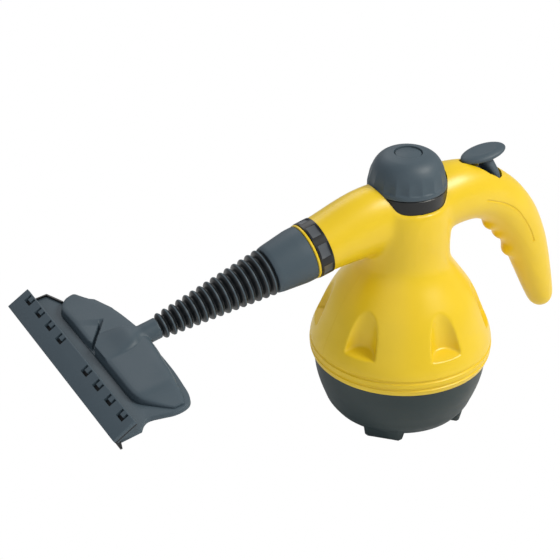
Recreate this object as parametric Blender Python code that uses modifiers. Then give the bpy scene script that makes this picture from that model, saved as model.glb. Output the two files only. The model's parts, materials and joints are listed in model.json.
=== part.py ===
"""Handheld steam cleaner with a ribbed extension and a window squeegee head.

Metres, +Z up. Every piece is placed from the upright axis of the round body,
with the spout towards -X. The last step moves that axis so that the origin is
the middle of the footprint on the floor.
"""

import math

import bmesh
import bpy
from mathutils import Matrix, Vector

# Gaps between pieces
gap = 0.0003
running_gap = 0.00009
overrun = 0.004
seam_gap = 0.0003

# Round body, standing on the base
body_radius = 0.0725
base_joint_height = 0.0553
housing_height = 0.1352
shoulder_height = base_joint_height + housing_height
housing_wall = 0.0026
cavity_wall_share = 1.5
bead_depth = 0.0013
bead_rises = (0.0060, 0.0124)
pear_height_shares = (
    (0.0, 0.024, 0.057, 0.098, 0.138, 0.175, 0.22, 0.264, 0.316, 0.368)
    + (0.419, 0.471, 0.523, 0.575, 0.626, 0.70, 0.81, 0.908, 1.0)
)
pear_radius_shares = (
    (0.966, 0.996, 1.0, 0.996, 0.979, 0.954, 0.921, 0.887, 0.848, 0.804)
    + (0.750, 0.683, 0.612, 0.545, 0.501, 0.486, 0.487, 0.478, 0.455)
)
scoop_count = 6
scoop_first_angle = math.radians(29)
scoop_radius = 0.0138
scoop_back_depth = 0.0165
scoop_back_radius = body_radius - scoop_back_depth
scoop_ledge_rise = 0.0316
scoop_ledge_slope = math.radians(27)
scoop_lean = math.radians(7)
scoop_height = 0.042

# Spout, on one straight axis with the extension
spout_end_x = -0.076
spout_end_drop = 0.0213
spout_end_height = shoulder_height - spout_end_drop
spout_pitch = math.radians(13.3)
spout_end_radius = 0.0218
spout_root_x = -0.038
spout_root_drop = 0.0130
spout_root_height = shoulder_height - spout_root_drop
spout_root_radius = 0.0273
spout_root_width_share = 0.83

# Shoulder and pistol handle, one continuous swept arm
arm_middle_drop = 0.0105
arm_middle_height = shoulder_height - arm_middle_drop
arm_half_height = 0.027
arm_half_width = 0.0248
handle_reach = 0.142
handle_drop = 0.1265
arm_reach_shares = (0.0, 0.17, 0.31, 0.44, 0.56, 0.66, 0.745, 0.817, 0.866, 0.915, 0.955, 0.982, 0.995)
arm_drop_shares = (0.0, -0.016, -0.027, -0.004, 0.063, 0.158, 0.285, 0.443, 0.585, 0.735, 0.86, 0.945, 0.985)
arm_height_shares = (1.0, 0.98, 0.945, 0.87, 0.78, 0.735, 0.71, 0.665, 0.615, 0.535, 0.455, 0.375, 0.2)
arm_width_shares = (1.0, 1.0, 0.93, 0.85, 0.762, 0.725, 0.687, 0.65, 0.606, 0.544, 0.481, 0.412, 0.25)
finger_bump_radius = 0.0095
finger_bump_shares = (0.60, 0.705, 0.80)
finger_bump_inset_share = 0.76

# Base
base_floor_height = 0.008
base_wall = 0.0028
base_height_shares = (0.0, 0.128, 0.255, 0.426, 0.596, 0.766, 1.0)
base_radius_shares = (0.745, 0.807, 0.841, 0.883, 0.914, 0.935, 0.949)
base_lip_height = 0.004
foot_count = 4
foot_circle_inset = 0.0290
foot_circle_radius = body_radius - foot_circle_inset
foot_slant = 0.0040
foot_length = 0.0145
foot_width = 0.032
foot_taper_share = 0.82
foot_pad_thickness = 0.0015
foot_pad_margin = 0.002
gland_angle = math.radians(75)
gland_rise = 0.018
gland_height = base_floor_height + gland_rise
gland_radius = 0.0052
gland_bore = 0.0031
gland_flange_radius = 0.0078
gland_length = 0.016

# Boiler
boiler_flange_inset = 0.0200
boiler_flange_radius = body_radius - boiler_flange_inset
boiler_flange_width = 0.0105
boiler_radius = boiler_flange_radius - boiler_flange_width
boiler_wall = 0.0025
boiler_rise = 0.018
boiler_bottom_height = base_floor_height + boiler_rise
boiler_lower_depth = 0.052
boiler_split_height = boiler_bottom_height + boiler_lower_depth
boiler_dome_height = 0.047
boiler_flange_thickness = 0.0035
gasket_thickness = 0.0015
boiler_neck_radius = 0.017
boiler_neck_bore = 0.0140
boiler_neck_top_height = shoulder_height - gasket_thickness / 3
post_circle_inset = 0.0050
post_circle_radius = boiler_flange_radius - post_circle_inset
post_radius = 0.0042
boiler_screw_radius = 0.002
boiler_screw_head_radius = 0.0038
boiler_screw_head_height = 0.0025
boiler_screw_length = 0.020

# Filler collar and cap
collar_radius = 0.0303
collar_rise = 0.0102
collar_depth = 0.0227
collar_top_height = shoulder_height + collar_rise
collar_bottom_height = collar_top_height - collar_depth
cap_rim_radius = 0.0303
cap_rim_gap = 0.0005
cap_rim_height = collar_top_height + cap_rim_gap
cap_height = 0.0265
cap_top_height = cap_rim_height + cap_height
cap_wall = 0.0022
cap_top_disc_radius = 0.0109
cap_top_disc_depth = 0.0012
cap_side_radius_shares = (0.42, 0.62, 0.79, 0.92, 0.985)
cap_side_height_shares = (0.985, 0.915, 0.76, 0.48, 0.18)
cap_flute_count = 18
cap_flute_radius = 0.0036
cap_flute_lean = math.radians(-24)
plug_radius = 0.0136
plug_depth = 0.0155
plug_bottom_height = boiler_neck_top_height - plug_depth
plug_flange_radius = 0.0215
plug_stem_radius = 0.0095
plug_well_radius = 0.0052
cap_gasket_radius = 0.0170
relief_pin_radius = 0.0016
relief_head_radius = 0.0040
relief_spring_radius = 0.0036
relief_spring_wire = 0.0005
relief_spring_turns = 5

# Trigger and steam valve
trigger_pin_x = 0.0435
trigger_pin_rise = 0.0030
trigger_pin_height = shoulder_height + trigger_pin_rise
trigger_pin_radius = 0.0015
trigger_pin_length = 0.024
trigger_hub_radius = 0.0040
trigger_thickness = 0.0150
trigger_lever_reach = 0.0390
trigger_pad_x = 0.0692
trigger_pad_rise = 0.0190
trigger_pad_height = trigger_pin_height + trigger_pad_rise
trigger_pad_half_length = 0.0195
trigger_pad_half_width = 0.0115
trigger_pad_tilt = math.radians(8)
trigger_pad_thickness = 0.0042
trigger_slot_clearance = 0.0009
valve_x = 0.0600
valve_radius = 0.0075
plunger_drop = 0.0069
plunger_top_height = trigger_pin_height - plunger_drop
plunger_length_shown = 0.0071
valve_top_height = plunger_top_height - plunger_length_shown
valve_height = 0.0140
valve_bottom_height = valve_top_height - valve_height
valve_bore = 0.0042
plunger_radius = 0.0026
plunger_head_radius = 0.0040
valve_spring_radius = 0.0048
valve_spring_wire = 0.0005
valve_spring_turns = 4
steam_tube_radius = 0.0024
steam_tube_side = 0.0232
steam_tube_drop = 0.0210
steam_tube_height = arm_middle_height - steam_tube_drop

# Nozzle socket, seen as a black band with windows, and its steam jet
socket_length = 0.0112
socket_radius = 0.0222
socket_sleeve_radius = 0.0175
socket_sleeve_depth = 0.018
socket_bore = 0.0150
socket_window_count = 8
socket_window_width = 0.0085
socket_window_length = 0.0062
socket_window_depth = 0.0011
jet_radius = 0.0035
jet_bore = 0.0011
jet_flange_radius = 0.0075
jet_length = 0.018

# Extension: seal ring, cuff and ribbed hose
seal_ring_thickness = 0.0020
seal_ring_radius = 0.0218
cuff_length = 0.0312
cuff_start_radius = 0.0214
cuff_end_radius = 0.0181
spigot_radius = 0.0140
spigot_length = 0.0165
hose_bore = 0.0052
hose_length = 0.0925
rib_count = 15
rib_first_radius = 0.0182
rib_last_radius = 0.0098
rib_depth = 0.0027
rib_share = 0.5

# Squeegee head, in its own plane
head_pitch = math.radians(8)
head_setback = 0.00195
neck_radius = 0.0079
neck_socket_depth = 0.010
neck_bore = 0.0030
fan_depth = 0.0495
fan_half_width = 0.0895
fan_thickness = 0.0040
shell_low_height = -0.0032
hump_rise_share = 0.3
blade_half_width = 0.0965
blade_reach = 0.0815
plate_depth = 0.0195
plate_slope = math.radians(24)
plate_thickness = 0.0030
plate_front_height = 0.0005
lip_thickness = 0.0020
lip_drop = 0.0044
slot_count = 4
slot_first_side = 0.0235
slot_end_margin = 0.0130
slot_pitch = (blade_half_width - slot_end_margin - slot_first_side) / (slot_count - 1)
slot_width = 0.0095
slot_depth = 0.0062
rubber_thickness = 0.0018
rubber_height = 0.0083
rubber_top_height = -0.0020
rubber_reach = 0.0774
clip_thickness = 0.0020
clip_start = 0.0055
clip_width = 0.0114
head_screw_radius = 0.0012
head_screw_head_radius = 0.0024

# Housing screws
housing_boss_radius = 0.0042
housing_screw_radius = 0.0014
housing_screw_head_radius = 0.0027
housing_screw_head_height = 0.0018
housing_screw_length = 0.020

# Mesh fineness
round_steps = 36
small_steps = 16
hidden_steps = 18
hose_steps = 24
spout_steps = 32
scoop_steps = 24
screw_steps = 12
merge_distance = 0.00001
arm_rings = 34
arm_ring_points = 24
blend_margin = 0.014
blend_voxel = 0.0026
blend_repeats = 10
blend_faces_share = 0.024
cavity_voxel = 0.0042
cavity_repeats = 4
cavity_faces_share = 0.018
shade_angle = math.radians(32)


def clear_scene():
    for obj in list(bpy.data.objects):
        bpy.data.objects.remove(obj, do_unlink=True)


def new_collection(name):
    collection = bpy.data.collections.new(name)
    bpy.context.scene.collection.children.link(collection)
    return collection


clear_scene()
parts = new_collection("steam_cleaner")
cutters = new_collection("cutters")
cutters.hide_render = True
body_axis = bpy.data.objects.new("body_axis", None)
parts.objects.link(body_axis)


def new_material(name, colour, roughness, metallic=0.0):
    material = bpy.data.materials.new(name)
    material.use_nodes = True
    shader = material.node_tree.nodes["Principled BSDF"]
    shader.inputs["Base Color"].default_value = (*colour, 1.0)
    shader.inputs["Roughness"].default_value = roughness
    shader.inputs["Metallic"].default_value = metallic
    material.diffuse_color = (*colour, 1.0)
    return material


yellow = new_material("yellow_plastic", (0.79, 0.55, 0.02), 0.35)
slate = new_material("slate_plastic", (0.075, 0.10, 0.12), 0.5)
dark_slate = new_material("dark_slate_plastic", (0.03, 0.05, 0.055), 0.45)
black = new_material("black_plastic", (0.008, 0.009, 0.011), 0.4)
rubber = new_material("black_rubber", (0.01, 0.01, 0.01), 0.8)
silicone = new_material("red_silicone", (0.35, 0.05, 0.03), 0.6)
aluminium = new_material("cast_aluminium", (0.6, 0.61, 0.62), 0.45, 1.0)
steel = new_material("zinc_steel", (0.55, 0.55, 0.54), 0.3, 1.0)
brass = new_material("turned_brass", (0.68, 0.47, 0.16), 0.3, 1.0)
tube_plastic = new_material("white_tube", (0.75, 0.75, 0.72), 0.4)


def at(x=0.0, y=0.0, z=0.0, turn=0.0):
    """An upright frame at this point of the body axis's space, turned about +Z."""
    return Matrix.Translation((x, y, z)) @ Matrix.Rotation(turn, 4, "Z")


def forward_frame(x, height, pitch):
    """Local +Z runs forward and down at this pitch, and local +X is the upper side."""
    cosine = math.cos(pitch)
    sine = math.sin(pitch)
    turn = Matrix(((-sine, 0, -cosine), (0, 1, 0), (cosine, 0, -sine))).to_4x4()
    return Matrix.Translation((x, 0, height)) @ turn


def level_frame(x, height, pitch):
    """Local +X runs forward and down at this pitch, and local +Z is the upper side."""
    cosine = math.cos(pitch)
    sine = math.sin(pitch)
    turn = Matrix(((-cosine, 0, -sine), (0, -1, 0), (-sine, 0, cosine))).to_4x4()
    return Matrix.Translation((x, 0, height)) @ turn


side_turn = Matrix.Rotation(math.radians(-90), 4, "X")
spout_frame = forward_frame(spout_end_x, spout_end_height, spout_pitch)


def along(frame, distance):
    return frame @ Matrix.Translation((0, 0, distance))


def spout_point(distance, rise=0.0):
    """A point this far along the spout's axis, and this far to its upper side."""
    return spout_frame @ Vector((rise, 0, distance))


def settle(obj, frame, material=None):
    """Puts an object in its collection, under the body axis; without a material it is a cutter."""
    obj.parent = body_axis
    obj.matrix_basis = frame
    if material is None:
        cutters.objects.link(obj)
        obj.hide_render = True
        obj.display_type = "WIRE"
        return obj
    parts.objects.link(obj)
    obj.data.materials.clear()
    obj.data.materials.append(material)
    return obj


def from_bmesh(name, shape, frame, material=None):
    mesh = bpy.data.meshes.new(name)
    shape.to_mesh(mesh)
    shape.free()
    mesh.shade_smooth()
    mesh.set_sharp_from_angle(angle=shade_angle)
    return settle(bpy.data.objects.new(name, mesh), frame, material)


def turned(name, outline, frame, material=None, steps=round_steps, ring=False):
    """Turns (radius, height) points about local Z; they run down the outer side first."""
    shape = bmesh.new()
    points = [shape.verts.new((radius, 0, height)) for radius, height in outline]
    pairs = list(zip(points, points[1:]))
    if ring:
        pairs.append((points[-1], points[0]))
    for pair in pairs:
        shape.edges.new(pair)
    obj = from_bmesh(name, shape, frame, material)
    screw = obj.modifiers.new("Turn", "SCREW")
    screw.steps = steps
    screw.render_steps = steps
    screw.use_merge_vertices = True
    screw.merge_threshold = merge_distance
    return obj


def rod(name, radius, length, frame, material=None, steps=small_steps, end_radius=None):
    """A cylinder or cone that starts at the frame and runs along local +Z."""
    shape = bmesh.new()
    far = radius if end_radius is None else end_radius
    middle = Matrix.Translation((0, 0, length / 2))
    sizes = {"segments": steps, "radius1": radius, "radius2": far, "depth": length}
    bmesh.ops.create_cone(shape, cap_ends=True, matrix=middle, **sizes)
    return from_bmesh(name, shape, frame, material)


def block(name, size, frame, material=None):
    shape = bmesh.new()
    bmesh.ops.create_cube(shape, size=1.0, matrix=Matrix.Diagonal((*size, 1.0)))
    return from_bmesh(name, shape, frame, material)


def ellipsoid(name, radii, frame, material=None, steps=16):
    shape = bmesh.new()
    stretch = Matrix.Diagonal((*radii, 1.0))
    bmesh.ops.create_uvsphere(shape, u_segments=steps, v_segments=steps // 2, radius=1.0, matrix=stretch)
    return from_bmesh(name, shape, frame, material)


def tube(name, points, radius, material, resolution=2):
    curve = bpy.data.curves.new(name, "CURVE")
    curve.dimensions = "3D"
    spline = curve.splines.new("POLY")
    spline.points.add(len(points) - 1)
    for target, point in zip(spline.points, points):
        target.co = (*point, 1.0)
    curve.bevel_depth = radius
    curve.bevel_resolution = resolution
    curve.use_fill_caps = True
    return settle(bpy.data.objects.new(name, curve), Matrix(), material)


def plate(name, outline, thickness, frame, material=None):
    """A flat outline in local X and Y, with its thickness centred on the frame."""
    curve = bpy.data.curves.new(name, "CURVE")
    curve.dimensions = "2D"
    curve.fill_mode = "BOTH"
    curve.extrude = thickness / 2
    spline = curve.splines.new("POLY")
    spline.points.add(len(outline) - 1)
    spline.use_cyclic_u = True
    for target, (x, y) in zip(spline.points, outline):
        target.co = (x, y, 0, 1)
    flat = bpy.data.objects.new(name + "_outline", curve)
    parts.objects.link(flat)
    graph = bpy.context.evaluated_depsgraph_get()
    mesh = bpy.data.meshes.new_from_object(flat.evaluated_get(graph))
    shape = bmesh.new()
    shape.from_mesh(mesh)
    bmesh.ops.remove_doubles(shape, verts=shape.verts, dist=merge_distance)
    bpy.data.objects.remove(flat, do_unlink=True)
    return from_bmesh(name, shape, frame, material)


def lofted(name, rings, frame, material=None):
    """Closed rings of equal counts, joined side by side and capped at both ends."""
    shape = bmesh.new()
    rows = [[shape.verts.new(point) for point in ring] for ring in rings]
    count = len(rows[0])
    for near, far in zip(rows, rows[1:]):
        for index in range(count):
            after = (index + 1) % count
            shape.faces.new((near[index], near[after], far[after], far[index]))
    shape.faces.new(rows[0][::-1])
    shape.faces.new(rows[-1])
    bmesh.ops.recalc_face_normals(shape, faces=shape.faces)
    return from_bmesh(name, shape, frame, material)


def combine(target, other, operation):
    modifier = target.modifiers.new(f"{operation.title()} {other.name}", "BOOLEAN")
    modifier.operation = operation
    modifier.solver = "EXACT"
    modifier.object = other


def cut(target, *others):
    for other in others:
        combine(target, other, "DIFFERENCE")


def join(target, *others):
    for other in others:
        combine(target, other, "UNION")


def baked(obj, name, material=None):
    """A plain mesh copy of an object as its modifiers leave it."""
    graph = bpy.context.evaluated_depsgraph_get()
    mesh = bpy.data.meshes.new_from_object(obj.evaluated_get(graph))
    mesh.name = name
    mesh.shade_smooth()
    return settle(bpy.data.objects.new(name, mesh), obj.matrix_basis.copy(), material)


def spread(points, count):
    """A smooth curve through points, read at even shares of its span."""
    spans = len(points) - 1
    curve = []
    for index in range(count):
        place = spans * index / (count - 1)
        span = min(int(place), spans - 1)
        share = place - span
        a = points[max(span - 1, 0)]
        b = points[span]
        c = points[span + 1]
        d = points[min(span + 2, spans)]
        value = 2 * b + (c - a) * share
        value = value + (2 * a - 5 * b + 4 * c - d) * share**2
        value = value + (3 * b - a - 3 * c + d) * share**3
        curve.append(value / 2)
    return curve


def ring_around(centre, direction, half_height, half_width, count):
    """An ellipse square to a direction that lies in the X and Z plane."""
    normal = Vector((-direction.z, 0, direction.x))
    ring = []
    for index in range(count):
        angle = 2 * math.pi * index / count
        side = Vector((0, half_width * math.sin(angle), 0))
        ring.append(centre + normal * half_height * math.cos(angle) + side)
    return ring


def arm_stations(inset):
    """Centre, half height and half width along the spout, the shoulder and the handle."""
    spout_end = Vector((spout_end_x, 0, spout_end_height))
    forward = Vector((-math.cos(spout_pitch), 0, -math.sin(spout_pitch)))
    mouth = spout_end + forward * blend_margin
    stations = [(mouth, spout_end_radius - inset, spout_end_radius - inset)]
    stations.append((spout_end, spout_end_radius - inset, spout_end_radius - inset))
    root = Vector((spout_root_x, 0, spout_root_height))
    root_half_width = spout_root_radius * spout_root_width_share
    stations.append((root, spout_root_radius - inset, root_half_width - inset))
    shares = zip(arm_reach_shares, arm_drop_shares, arm_height_shares, arm_width_shares)
    for reach_share, drop_share, height_share, width_share in shares:
        centre = Vector((handle_reach * reach_share, 0, arm_middle_height - handle_drop * drop_share))
        half_height = arm_half_height * height_share - inset
        stations.append((centre, half_height, arm_half_width * width_share - inset))
    return stations[:-2] if inset else stations


def arm_form(name, inset):
    stations = arm_stations(inset)
    path = spread([Vector((*centre, half_height)) for centre, half_height, _ in stations], arm_rings)
    widths = spread([Vector((half_width, 0)) for _, _, half_width in stations], arm_rings)
    rings = []
    for index, point in enumerate(path):
        ahead = path[min(index + 1, arm_rings - 1)].xyz
        behind = path[max(index - 1, 0)].xyz
        direction = (ahead - behind).normalized()
        rings.append(ring_around(point.xyz, direction, point.w, widths[index].x, arm_ring_points))
    return lofted(name, rings, at())


pear_side = [
    (body_radius * radius_share, base_joint_height + housing_height * height_share)
    for radius_share, height_share in zip(pear_radius_shares, pear_height_shares)
]
base_height = base_joint_height - gap - base_floor_height
base_side = [
    (body_radius * radius_share, base_floor_height + base_height * height_share)
    for radius_share, height_share in zip(base_radius_shares, base_height_shares)
]


def radius_at(side, height):
    """The radius of a turned side at a height, read between its points."""
    for (low_radius, low), (high_radius, high) in zip(side, side[1:]):
        if height <= high:
            share = max(height - low, 0.0) / (high - low)
            return low_radius * (1 - share) + high_radius * share
    return side[-1][0]


def pear_form(name, inset):
    side = [(radius - inset, height) for radius, height in pear_side]
    low = base_joint_height - blend_margin
    top = shoulder_height - inset
    outline = [(0, top), (side[-1][0], top)] + side[-2::-1] + [(side[0][0], low), (0, low)]
    return turned(name, outline, at())


def finger_bumps(target):
    """Soft bumps on the handle's inner side, between the fingers."""
    stations = arm_stations(0)
    for number, share in enumerate(finger_bump_shares, 1):
        place = share * (len(stations) - 1)
        centre, half_height, _ = stations[int(place)]
        after = stations[int(place) + 1][0]
        point = centre.lerp(after, place - int(place))
        direction = (after - centre).normalized()
        inner = Vector((direction.z, 0, -direction.x))
        where = point + inner * half_height * finger_bump_inset_share
        join(target, ellipsoid(f"finger_bump_{number}", (finger_bump_radius,) * 3, at(*where)))


def blended(name, inset, voxel, repeats, faces_share):
    """The round body and the arm melted into one skin."""
    form = pear_form(name + "_pear", inset)
    join(form, arm_form(name + "_arm", inset))
    if not inset:
        finger_bumps(form)
    remesh = form.modifiers.new("Melt", "REMESH")
    remesh.mode = "VOXEL"
    remesh.voxel_size = voxel
    smooth = form.modifiers.new("Blend", "SMOOTH")
    smooth.factor = 0.5
    smooth.iterations = repeats
    fewer = form.modifiers.new("Fewer faces", "DECIMATE")
    fewer.ratio = faces_share
    return baked(form, name)


outer_form = blended("outer_form", 0, blend_voxel, blend_repeats, blend_faces_share)
cavity_inset = housing_wall * cavity_wall_share
inner_form = blended("inner_form", cavity_inset, cavity_voxel, cavity_repeats, cavity_faces_share)

body_screw_x = boiler_flange_radius + housing_boss_radius * 1.3
body_screw_height = boiler_split_height + housing_boss_radius * 2.9
housing_screw_places = [
    (handle_reach * 0.93, arm_middle_height - handle_drop * 0.79),
    (handle_reach * 0.655, arm_middle_height - handle_drop * 0.155),
    (spout_root_x - housing_boss_radius * 2.4, spout_root_height - spout_root_radius * 0.52),
    (-body_screw_x, body_screw_height),
    (body_screw_x, body_screw_height),
]


def across(x, height, start):
    """A frame whose local +Z runs across the part, towards +Y, from this start."""
    return Matrix.Translation((x, start, height)) @ side_turn


def scoops(name, wall):
    """The recesses round the body, each this much larger all round: a round back on a sloping ledge."""
    radius = scoop_radius + wall
    rings = [[], []]
    for index in range(scoop_steps):
        angle = 2 * math.pi * index / scoop_steps
        x = radius * math.cos(angle)
        y = radius * math.sin(angle)
        ledge = -(x + scoop_radius) * math.tan(scoop_ledge_slope) - wall / math.cos(scoop_ledge_slope)
        rings[0].append(Vector((x, y, ledge)))
        rings[1].append(Vector((x, y, scoop_height)))
    found = []
    middle = Matrix.Translation((scoop_back_radius + scoop_radius, 0, base_joint_height + scoop_ledge_rise))
    leaning = middle @ Matrix.Rotation(-scoop_lean, 4, "Y")
    for number in range(scoop_count):
        ray = at(turn=scoop_first_angle + 2 * math.pi * number / scoop_count)
        found.append(lofted(f"{name}_{number + 1}", rings, ray @ leaning))
    return found


seat_frame = along(spout_frame, -socket_sleeve_depth - gap)


def housing_cavity():
    """The hollow of both halves, less the bosses and seats that stay on them."""
    cavity = inner_form
    cut(cavity, *scoops("scoop_back", housing_wall))
    for number, (x, height) in enumerate(housing_screw_places, 1):
        boss = rod(f"boss_{number}", housing_boss_radius, body_radius * 2, across(x, height, -body_radius))
        cut(cavity, boss)
    for side in (-1, 1):
        start = side * (trigger_thickness / 2 + gap)
        length = arm_half_width * side
        frame = across(trigger_pin_x, trigger_pin_height, min(start, start + length))
        cut(cavity, rod(f"pin_boss_{side}", trigger_hub_radius, abs(length), frame))
    cut(cavity, rod("socket_seat", spout_root_radius, socket_sleeve_depth + overrun, seat_frame))
    pedestal_top = valve_bottom_height - gap
    pedestal_low = arm_middle_height - arm_half_height - overrun
    pedestal_size = (valve_radius * 1.6, arm_half_width * 2, pedestal_top - pedestal_low)
    cut(cavity, block("valve_pedestal", pedestal_size, at(valve_x, 0, (pedestal_top + pedestal_low) / 2)))
    return cavity


def housing_cutters():
    """What is cut from both halves after they are hollow."""
    found = [housing_cavity()]
    span = body_radius * 4
    below = at(z=base_joint_height - blend_margin * 1.5)
    found.append(block("below_joint", (span, span, blend_margin * 3), below))
    mouth_size = (span / 3, span / 3, blend_margin * 3)
    found.append(block("past_mouth", mouth_size, along(spout_frame, blend_margin * 1.5)))
    seat_length = socket_sleeve_depth + overrun * 2
    hole_frame = along(seat_frame, -overrun / 2)
    found.append(rod("socket_hole", socket_sleeve_radius + gap, seat_length, hole_frame, steps=spout_steps))
    hole_length = cap_top_height - collar_bottom_height + overrun
    hole_frame = at(z=collar_bottom_height - gap)
    found.append(rod("collar_hole", cap_rim_radius + gap, hole_length, hole_frame, steps=round_steps))
    for number, rise in enumerate(bead_rises, 1):
        height = base_joint_height + rise
        radius = radius_at(pear_side, height)
        groove = [
            (radius + overrun, height + bead_depth + overrun),
            (radius + overrun, height - bead_depth - overrun),
            (radius - bead_depth, height),
        ]
        found.append(turned(f"bead_groove_{number}", groove, at(), ring=True))
    found += scoops("scoop", 0)
    slot_start = trigger_pin_x + trigger_hub_radius + gap
    slot_end = trigger_pin_x + trigger_lever_reach + trigger_slot_clearance * 2
    slot_size = (slot_end - slot_start, trigger_thickness + trigger_slot_clearance * 2, arm_half_height * 2)
    slot_middle = (slot_start + slot_end) / 2
    found.append(block("trigger_slot", slot_size, at(slot_middle, 0, valve_top_height + arm_half_height)))
    bore = trigger_pin_radius + running_gap
    bore_length = trigger_pin_length + gap * 2
    bore_frame = across(trigger_pin_x, trigger_pin_height, -bore_length / 2)
    found.append(rod("pin_bore", bore, bore_length, bore_frame))
    return found


def screw_holes(name, side):
    """A through hole with a head pocket on the hidden side, a pilot hole on the other."""
    found = []
    radius = housing_screw_radius + gap
    for number, (x, height) in enumerate(housing_screw_places, 1):
        if side < 0:
            blind = across(x, height, -housing_screw_length / 2)
            found.append(rod(f"{name}_hole_{number}", radius, housing_screw_length, blind, steps=screw_steps))
            continue
        through = across(x, height, -overrun)
        found.append(rod(f"{name}_hole_{number}", radius, body_radius * 2, through, steps=screw_steps))
        head = housing_screw_head_radius + gap
        start = housing_screw_length / 2 - gap
        pocket = across(x, height, start)
        found.append(rod(f"{name}_pocket_{number}", head, body_radius * 2, pocket, steps=screw_steps))
    return found


shared_cutters = housing_cutters()


def housing_half(name, side):
    half = baked(outer_form, name, yellow)
    cut(half, *shared_cutters)
    span = body_radius * 5
    keep = block(name + "_keep", (span, span, span), at(0, side * (span + seam_gap) / 2, arm_middle_height))
    combine(half, keep, "INTERSECT")
    cut(half, *screw_holes(name, side))
    weld = half.modifiers.new("Weld", "WELD")
    weld.merge_threshold = merge_distance
    return half


housing_left = housing_half("housing_left", -1)
housing_right = housing_half("housing_right", 1)

for number, (x, height) in enumerate(housing_screw_places, 1):
    shank_start = gap - housing_screw_length / 2
    shank_length = housing_screw_length - gap + housing_screw_head_height / 2
    shank = across(x, height, shank_start)
    name = f"housing_screw_{number}"
    screw = rod(name, housing_screw_radius, shank_length, shank, steel, steps=screw_steps)
    seat = across(x, height, housing_screw_length / 2)
    head_sizes = (housing_screw_head_radius, housing_screw_head_height)
    join(screw, rod(name + "_head", *head_sizes, seat, steps=screw_steps))

# Base, with its feet and cord gland
lip_radius = pear_side[0][0] - cavity_inset - gap * 6
lip_top = base_joint_height + base_lip_height
lip_inner = lip_radius - base_wall * 0.75
inside = [(radius - base_wall, height) for radius, height in base_side[1:-1]]
floor_top = base_floor_height + base_wall
rim_height = base_side[-1][1]
outline = [(0, floor_top), (base_side[0][0] - base_wall, floor_top)] + inside
outline += [(lip_inner, rim_height), (lip_inner, lip_top), (lip_radius, lip_top), (lip_radius, rim_height)]
outline += base_side[::-1] + [(0, base_floor_height)]
base = turned("base", outline, at(), dark_slate)

post_top = boiler_split_height - boiler_flange_thickness - gap
quarter_turns = [math.radians(45) + math.pi / 2 * number for number in range(foot_count)]
for number, angle in enumerate(quarter_turns, 1):
    ray = at(turn=angle)
    post_frame = ray @ Matrix.Translation((post_circle_radius, 0, base_floor_height + base_wall / 2))
    post_length = post_top - base_floor_height - base_wall / 2
    join(base, rod(f"post_{number}", post_radius, post_length, post_frame))
    top = foot_pad_thickness + gap
    foot_rise = base_floor_height + base_wall / 2 - top
    foot_frame = ray @ Matrix.Translation((foot_circle_radius, 0, top))
    foot_rings = []
    for share, shift, rise in ((foot_taper_share, 0, 0), (1, foot_slant, foot_rise)):
        half_x = foot_length / 2 * share
        half_y = foot_width / 2 * share
        corners = ((half_x, half_y), (-half_x, half_y), (-half_x, -half_y), (half_x, -half_y))
        foot_rings.append([Vector((x + shift, y, rise)) for x, y in corners])
    join(base, lofted(f"foot_{number}", foot_rings, foot_frame))
    hole_frame = post_frame @ Matrix.Translation((0, 0, post_length - boiler_screw_length * 0.75))
    hole_radius = boiler_screw_radius + gap
    cut(base, rod(f"post_hole_{number}", hole_radius, boiler_screw_length, hole_frame, steps=screw_steps))
    pad_length = foot_length * foot_taper_share - foot_pad_margin
    pad_width = foot_width * foot_taper_share - foot_pad_margin
    pad_size = (pad_length, pad_width, foot_pad_thickness)
    pad_frame = ray @ Matrix.Translation((foot_circle_radius, 0, foot_pad_thickness / 2))
    block(f"foot_pad_{number}", pad_size, pad_frame, rubber)

gland_outward = at(z=gland_height, turn=gland_angle) @ Matrix.Rotation(math.radians(90), 4, "Y")
gland_wall = radius_at(base_side, gland_height)
cut(base, rod("gland_hole", gland_radius + gap, overrun * 4, along(gland_outward, gland_wall - overrun * 2)))
gland_start = gland_wall - base_wall - overrun / 2
flange_start = radius_at(base_side, gland_height + gland_flange_radius) + gap
gland_outline = [
    (gland_radius * 0.82, flange_start + gland_length),
    (gland_radius, flange_start + gland_length * 0.25),
    (gland_flange_radius, flange_start + gland_length * 0.2),
    (gland_flange_radius, flange_start),
    (gland_radius, flange_start),
    (gland_radius, gland_start),
    (gland_bore, gland_start),
    (gland_bore, flange_start + gland_length),
]
turned("cord_gland", gland_outline, gland_outward, rubber, steps=small_steps, ring=True)

# Boiler
lower_top = boiler_split_height
flange_low = boiler_split_height - boiler_flange_thickness
boiler_low_edge = boiler_radius * 0.93
lower_outline = [
    (0, boiler_bottom_height + boiler_wall * 1.6),
    (boiler_low_edge - boiler_wall, boiler_bottom_height + boiler_wall * 1.6),
    (boiler_radius - boiler_wall, boiler_bottom_height + boiler_radius * 0.25),
    (boiler_radius - boiler_wall, lower_top),
    (boiler_flange_radius, lower_top),
    (boiler_flange_radius, flange_low),
    (boiler_radius, flange_low),
    (boiler_radius, boiler_bottom_height + boiler_radius * 0.2),
    (boiler_low_edge, boiler_bottom_height),
    (0, boiler_bottom_height),
]
boiler_lower = turned("boiler_lower", lower_outline, at(), aluminium, steps=hidden_steps)
gasket_low = boiler_split_height + gap
gasket_top = gasket_low + gasket_thickness
gasket_outer = post_circle_radius - boiler_screw_head_radius
gasket_outline = [
    (gasket_outer, gasket_top),
    (gasket_outer, gasket_low),
    (boiler_radius - boiler_wall, gasket_low),
    (boiler_radius - boiler_wall, gasket_top),
]
turned("boiler_gasket", gasket_outline, at(), silicone, steps=hidden_steps, ring=True)
upper_low = gasket_top + gap
upper_flange_top = upper_low + boiler_flange_thickness
dome_rise = boiler_dome_height - upper_flange_top + boiler_split_height
neck_hole = boiler_neck_radius + gap
dome_angles = [math.radians(angle) for angle in (18, 48, 60)]
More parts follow.
